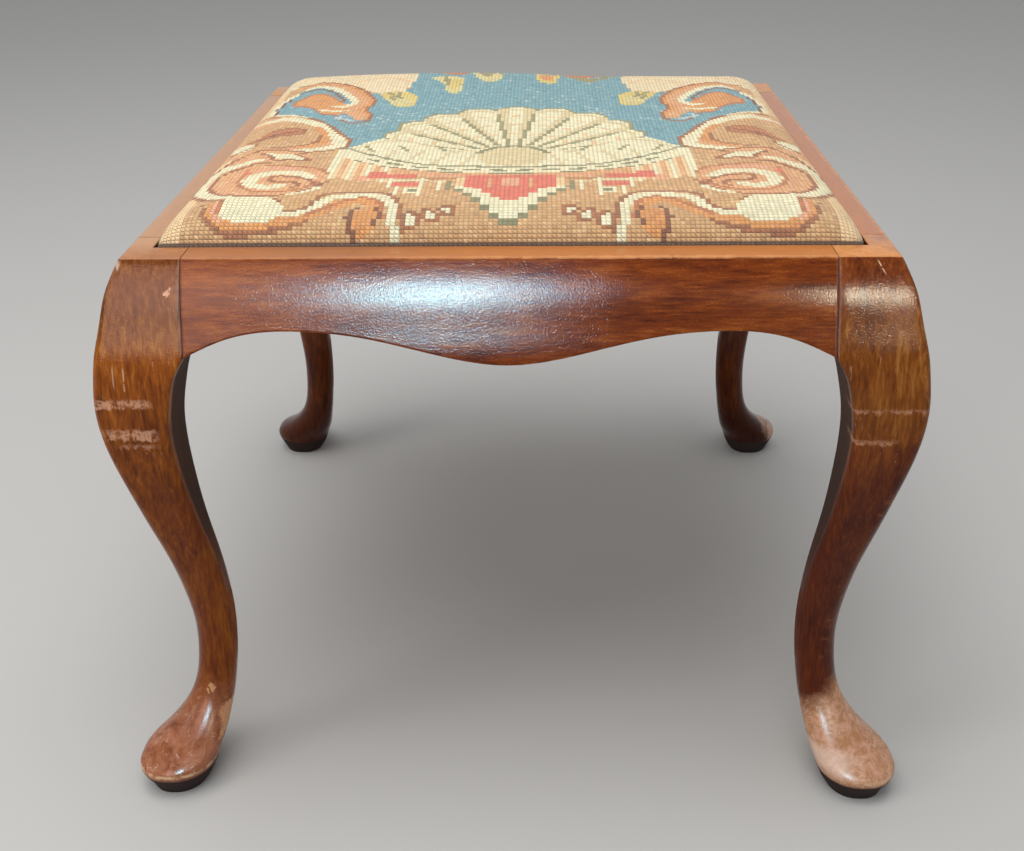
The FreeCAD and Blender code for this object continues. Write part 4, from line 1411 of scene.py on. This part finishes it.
    def work_canvas(self, cover, needlework):
        """Works the drawing into the canvas, one colour to a stitch."""
        mesh = cover.data
        uv = values_of(mesh.uv_layers["canvas"].data, "uv", 2)
        corners = values_of(mesh.polygons, "loop_total", kind=np.int32)
        starts = values_of(mesh.polygons, "loop_start", kind=np.int32)
        centre = np.add.reduceat(uv, starts, axis=0) / corners[:, None]
        cell = (np.floor(centre) + 0.5) * needlework.stitch
        wools = dict(WOOL, ground=(*needlework.ground, 1.0), blue=(*needlework.field, 1.0))
        across, up = (MILLIMETRES * self.seen_from_above(cell[:, k], COVER_HIGH[k]) for k in (0, 1))
        colour = draw_canvas(across, up, wools)
        dye = np.random.default_rng(7)
        colour[:, :3] *= 1 + 0.055 * dye.standard_normal(len(colour)).clip(-2, 2)[:, None]
        wool = mesh.color_attributes.new("wool", "FLOAT_COLOR", "CORNER")
        wool.data.foreach_set("color", np.repeat(colour, corners, axis=0).astype(np.float32).ravel())

    def seen_from_above(self, along, reach):
        """The place in plan of a length measured over the roll."""
        length, out = roll_table()
        over = np.abs(along) - (reach - ROLL)
        rolled = reach - ROLL + np.interp(over, length, out) + np.maximum(over - length[-1], 0.0)
        return np.where(over > 0, np.copysign(rolled, along), along)

    def finish(self):
        """Wool in stitches: rounded grains in rows, with painted shade and dirt in the gaps between them, and
        painted shade where the cover sinks into the frame's rebate.
        """
        finish = Finish("needlework", Roughness=0.85, Sheen_Weight=0.25, Sheen_Roughness=0.5)
        wool = finish.attribute("wool", "Color")
        u, v, _ = finish.parts(finish.node("UVMap", {}, uv_map="canvas"))
        _, y, z = finish.parts(finish.place())
        slant = finish.maths("FRACT", v) - 0.5
        grain = (1 - finish.wave(u + slant * 0.32) ** 4) * (1 - (abs(slant) * 2) ** 3)
        fibre = finish.noise(finish.place(), 1900.0, 2.0, 0.6)
        faded = finish.noise(finish.place(), 11.0, 3.0, 0.6)
        gap = finish.ramp(grain + fibre * 0.3, 0.08, 0.74)
        # Between the stitches the wool is darkened: painted shade with some dirt.
        soiled_and_shaded = finish.mix(0.40, wool, (0.20, 0.10, 0.05, 1.0), "MULTIPLY")
        dusty = finish.ramp(faded + fibre * 0.3, 0.45, 0.85) * 0.24
        finish.colour = finish.mix(gap, soiled_and_shaded, finish.mix(dusty, wool, (0.80, 0.76, 0.70, 1.0), "MULTIPLY"))
        finish.tint(finish.ramp(y, -0.165, -0.205) * 0.5, 0.80, 0.84, 0.92)
        # Painted shade where the cover sinks into the frame's rebate.
        shade_in_rebate = finish.near(z, FRAME_TOP, 0.0008, 0.0016)
        finish.lay(shade_in_rebate * 0.7, srgb(44, 26, 20))
        return finish.plug(Normal=finish.bump(grain + fibre * 0.3, 0.9, 0.0010))


PAD_BELOW = 0.0054
WADDING_BELOW = 0.0022
WADDING_THICKNESS = 0.0024
LEAST_CROWN = 0.0004
LUMPS = 0.0003
STRAP_THICKNESS = 0.0012
STRAP_LIFT = 0.0013
CROSSING = 0.016
HESSIAN_THICKNESS = 0.0006
NUMBERS = (1, 2, 3)


def crowned_grid(bm, cells, high, height):
    """A grid over the seat, as large as a box that ends at high, with each point at its height."""
    bmesh.ops.create_grid(bm, x_segments=cells, y_segments=cells - 2, size=1.0)
    for vert in bm.verts:
        x, y = vert.co.x * high.x, vert.co.y * high.y
        vert.co = (x, y, height(x, y))


class STOOL_OT_stuffing(bpy.types.Operator):
    """Makes the stuffing pad and the wadding that lies over it"""

    bl_idname = "stool.stuffing"
    bl_label = "Stuffing and wadding"

    def execute(self, context):
        hair = self.fluff("hair", srgb(92, 74, 56), srgb(58, 44, 32), 700.0)
        cotton = self.fluff("cotton", srgb(232, 226, 212), srgb(204, 196, 180), 160.0)
        pad, low = self.crown("stuffing", PAD_BELOW)
        lower, base = extruded(pad, [edge for edge in pad.edges if edge.is_boundary])
        for vert in lower:
            vert.co.z = low
        bmesh.ops.contextual_create(pad, geom=base)
        stuffing = piece_from(finished(pad), "stuffing_pad", [hair], "seat", ["stuffing"])
        layer, _ = self.crown("wadding", WADDING_BELOW)
        name, slot = "wadding_layer", "cotton_wadding"
        wadding = piece_from(finished(layer), name, [cotton], "seat", ["wadding"])
        thicken(wadding, WADDING_THICKNESS)
        return {"FINISHED"}

    def crown(self, node, below):
        """A crowned layer as large as a CAD node and as far below the cover as said, and its base."""
        low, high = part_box(node)
        bm = bmesh.new()
        crowned_grid(bm, 56, high, lambda x, y: max(seat_height(x, y) - below, low.z + LEAST_CROWN))
        for vert in bm.verts:
            vert.co.z += LUMPS * noise.noise(vert.co * 60)
        return bm, low.z

    def fluff(self, name, light, dark, scale):
        finish = Finish(name, Roughness=0.95)
        strands = finish.noise(finish.place(), scale, 5.0, 0.7, 2.5)
        finish.colour = finish.colours(strands, (0.35, dark), (0.65, light))
        return finish.plug(Normal=finish.bump(strands, 1.0, 0.002))


class STOOL_OT_webbing(bpy.types.Operator):
    """Makes the six woven straps and the hessian that lies on them"""

    bl_idname = "stool.webbing"
    bl_label = "Webbing and hessian"

    def execute(self, context):
        across, along = self.jute("webbing_across", "X"), self.jute("webbing_along", "Y")
        longs = [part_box("webbing_long_%d" % number) for number in NUMBERS]
        for number, (low, high) in zip(NUMBERS, longs):
            path = [(x, 0.0, (low.z + high.z) / 2) for x in np.linspace(low.x, high.x, 60)]
            self.strap("long", number, across, path, low, high)
        for number in NUMBERS:
            low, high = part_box("webbing_cross_%d" % number)
            self.strap("cross", number, along, self.woven(number, low, high, longs), low, high)
        low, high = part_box("hessian")
        bm = bmesh.new()
        crowned_grid(bm, 64, high, lambda x, y: high.z - 0.0001)
        weave = [self.hessian()]
        cloth = piece_from(finished(bm), "hessian_sheet", weave, "seat", ["hessian"])
        thicken(cloth, HESSIAN_THICKNESS)
        return {"FINISHED"}

    def woven(self, number, low, high, longs):
        """The path of a cross strap, over and under the long ones in turn."""
        rest = longs[0][0].z + STRAP_THICKNESS / 2
        route = [(low.y, rest), (low.y + 0.03, rest)]
        for place, (under, over) in enumerate(longs):
            lift = STRAP_LIFT if (place + number - 1) % 2 == 0 else -STRAP_LIFT
            middle = (under.y + over.y) / 2
            route += [(middle - CROSSING, rest + lift), (middle + CROSSING, rest + lift)]
        route += [(high.y - 0.03, rest), (high.y, rest)]
        line = smooth_through([(y, z, 0.0) for y, z in route], 90)
        heights = np.interp(line[:, 0], [y for y, z in route], [z for y, z in route])
        return [(0.0, y, z) for y, z in zip(line[:, 0], heights)]

    def strap(self, way, number, material, path, low, high):
        """One strap along its path, with rounded selvedges."""
        along_x = way == "long"
        length, width = (high - low).xy if along_x else (high - low).yx
        middle = (high.y + low.y) / 2 if along_x else (high.x + low.x) / 2
        half, thick = width / 2, STRAP_THICKNESS / 2
        shares = (-1.0, -0.985, -0.9, -0.5, 0.0, 0.5, 0.9, 0.985, 1.0)
        outline = [(s, thick if abs(s) < 0.99 else 0.0) for s in shares]
        outline += [(s, -thick) for s in shares[-2:0:-1]]
        rings = []
        for x, y, z in path:
            sides = [middle + share * half for share, up in outline]
            rings.append([((x, side) if along_x else (side, y)) + (z + up, share)
                          for side, (share, up) in zip(sides, outline)])
        bm = bmesh.new()
        sweep(bm, rings, mark="across")
        name, node = ("%s_%s_%d" % (kind, way, number) for kind in ("strap", "webbing"))
        piece = piece_from(finished(bm), name, [material], "seat", [node])

    def jute(self, name, axis):
        """Herringbone webbing with a dark stripe near each selvedge."""
        finish = Finish(name, Roughness=0.9)
        across = abs(finish.attribute("across"))
        along = finish.parts(finish.place())["XY".index(axis)]
        ridge = finish.wave(across * 6.5)
        thread = finish.wave(along * 420 + ridge * 1.6)
        dirt = finish.noise(finish.place(), 40.0, 4.0, 0.6)
        tone = thread * 0.6 + dirt * 0.5
        finish.colour = finish.colours(tone, (0.15, srgb(120, 92, 58)), (0.85, srgb(196, 164, 116)))
        stripe = finish.ramp(abs(across - 0.78), 0.05, 0.03)
        finish.lay(stripe * 0.8, srgb(62, 40, 30))
        return finish.plug(Normal=finish.bump(thread, 0.8, 0.0006))

    def hessian(self):
        """Plain open weave in coarse jute yarn."""
        finish = Finish("hessian", Roughness=0.95)
        x, y, _ = finish.parts(finish.place((460, 460, 460)))
        turn = finish.maths("FRACT", finish.maths("FLOOR", x) * 0.5 + finish.maths("FLOOR", y) * 0.5)
        over = finish.maths("GREATER_THAN", turn, 0.25)
        height = (1 - finish.wave(x) ** 2) * over + (1 - finish.wave(y) ** 2) * (1 - over)
        tone = height * 0.6 + finish.noise(finish.place((30, 300, 30)), 1.0, 3.0, 0.6) * 0.4
        finish.colour = finish.colours(tone, (0.1, srgb(96, 72, 44)), (0.8, srgb(178, 146, 100)))
        return finish.plug(Normal=finish.bump(height, 0.9, 0.0008))


class STOOL_OT_seat_frame(bpy.types.Operator):
    """Gives the seat's rails and dowels, the corner blocks, the screws and the tacks their finishes"""

    bl_idname = "stool.seat_frame"
    bl_label = "Seat frame and fixings"

    def execute(self, context):
        beech = (srgb(206, 168, 122), srgb(190, 148, 102), srgb(158, 116, 74))
        pine = (srgb(196, 156, 104), srgb(170, 126, 80), srgb(126, 86, 50))
        dress(bare_wood("beech_across", "X", beech, 190.0), "seat_rail_front", "seat_rail_back")
        dress(bare_wood("beech_deep", "Y", beech, 190.0), "seat_rail_left", "seat_rail_right", "seat_dowels")
        corners = ("front_left", "front_right", "back_left", "back_right")
        blocks = ["corner_block_" + corner for corner in corners]
        dress(bare_wood("block_wood", "X", pine, 90.0), *blocks)
        screws = worn_steel("screw_steel_worn", srgb(150, 146, 138), srgb(96, 74, 56), 0.4)
        dress(screws, "corner_block_screws")
        tacks = worn_steel("tack_steel_blued", srgb(66, 68, 76), srgb(84, 60, 44), 0.45)
        dress(tacks, "webbing_tacks", "cover_tacks")
        return {"FINISHED"}


def bare_wood(name, axis, tones, scale):
    """Plain planed wood, dusty and unvarnished."""
    finish = Finish(name, Roughness=0.7)
    grain = finish.noise(finish.place(stretched(axis, 6, scale)), 1.0, 4.0, 0.6, 0.6)
    clouds = finish.noise(finish.place(), 14.0, 3.0, 0.6)
    light, middle, dark = tones
    finish.colour = finish.colours(grain * 0.6 + clouds * 0.4, (0.32, dark), (0.5, middle), (0.68, light))
    return finish.plug(Normal=finish.bump(grain, 0.4, 0.0005))


def worn_steel(name, bright, rust, roughness):
    finish = Finish(name, Metallic=1.0)
    spots = finish.ramp(finish.noise(finish.place(), 500.0, 4.0, 0.65), 0.48, 0.66)
    finish.colour = finish.mix(spots, bright, rust)
    return finish.plug(Roughness=roughness + spots * 0.3, Normal=finish.bump(spots, 0.3, 0.0002))


class STOOL_PT_panel(bpy.types.Panel):
    """Lists the stool's pieces in the sidebar"""

    bl_idname = "STOOL_PT_panel"
    bl_label = "Upholstered Stool"
    bl_space_type = "VIEW_3D"
    bl_region_type = "UI"
    bl_category = "Stool"

    def draw(self, context):
        column = self.layout.column()
        for group in (context.scene.stool_wood, context.scene.stool_needlework, context.scene.stool_stage):
            for name in group.bl_rna.properties.keys():
                if name not in ("rna_type", "name"):
                    column.prop(group, name)
        for step in STEPS:
            column.operator(step.bl_idname)


STEPS = (
    STOOL_OT_stage,
    STOOL_OT_legs,
    STOOL_OT_aprons,
    STOOL_OT_seat_frame,
    STOOL_OT_webbing,
    STOOL_OT_stuffing,
    STOOL_OT_cover,
)
CLASSES = (StoolWood, StoolNeedlework, StoolStage, *STEPS, STOOL_PT_panel)


def register():
    for item in CLASSES:
        bpy.utils.register_class(item)
    bpy.types.Scene.stool_wood = PointerProperty(type=StoolWood)
    bpy.types.Scene.stool_needlework = PointerProperty(type=StoolNeedlework)
    bpy.types.Scene.stool_stage = PointerProperty(type=StoolStage)


def unregister():
    del bpy.types.Scene.stool_stage
    del bpy.types.Scene.stool_needlework
    del bpy.types.Scene.stool_wood
    for item in reversed(CLASSES):
        bpy.utils.unregister_class(item)


def main():
    register()
    bpy.ops.stool.stage()
    bpy.ops.stool.legs()
    bpy.ops.stool.aprons()
    bpy.ops.stool.seat_frame()
    bpy.ops.stool.webbing()
    bpy.ops.stool.stuffing()
    bpy.ops.stool.cover()


if __name__ == "__main__":
    main()
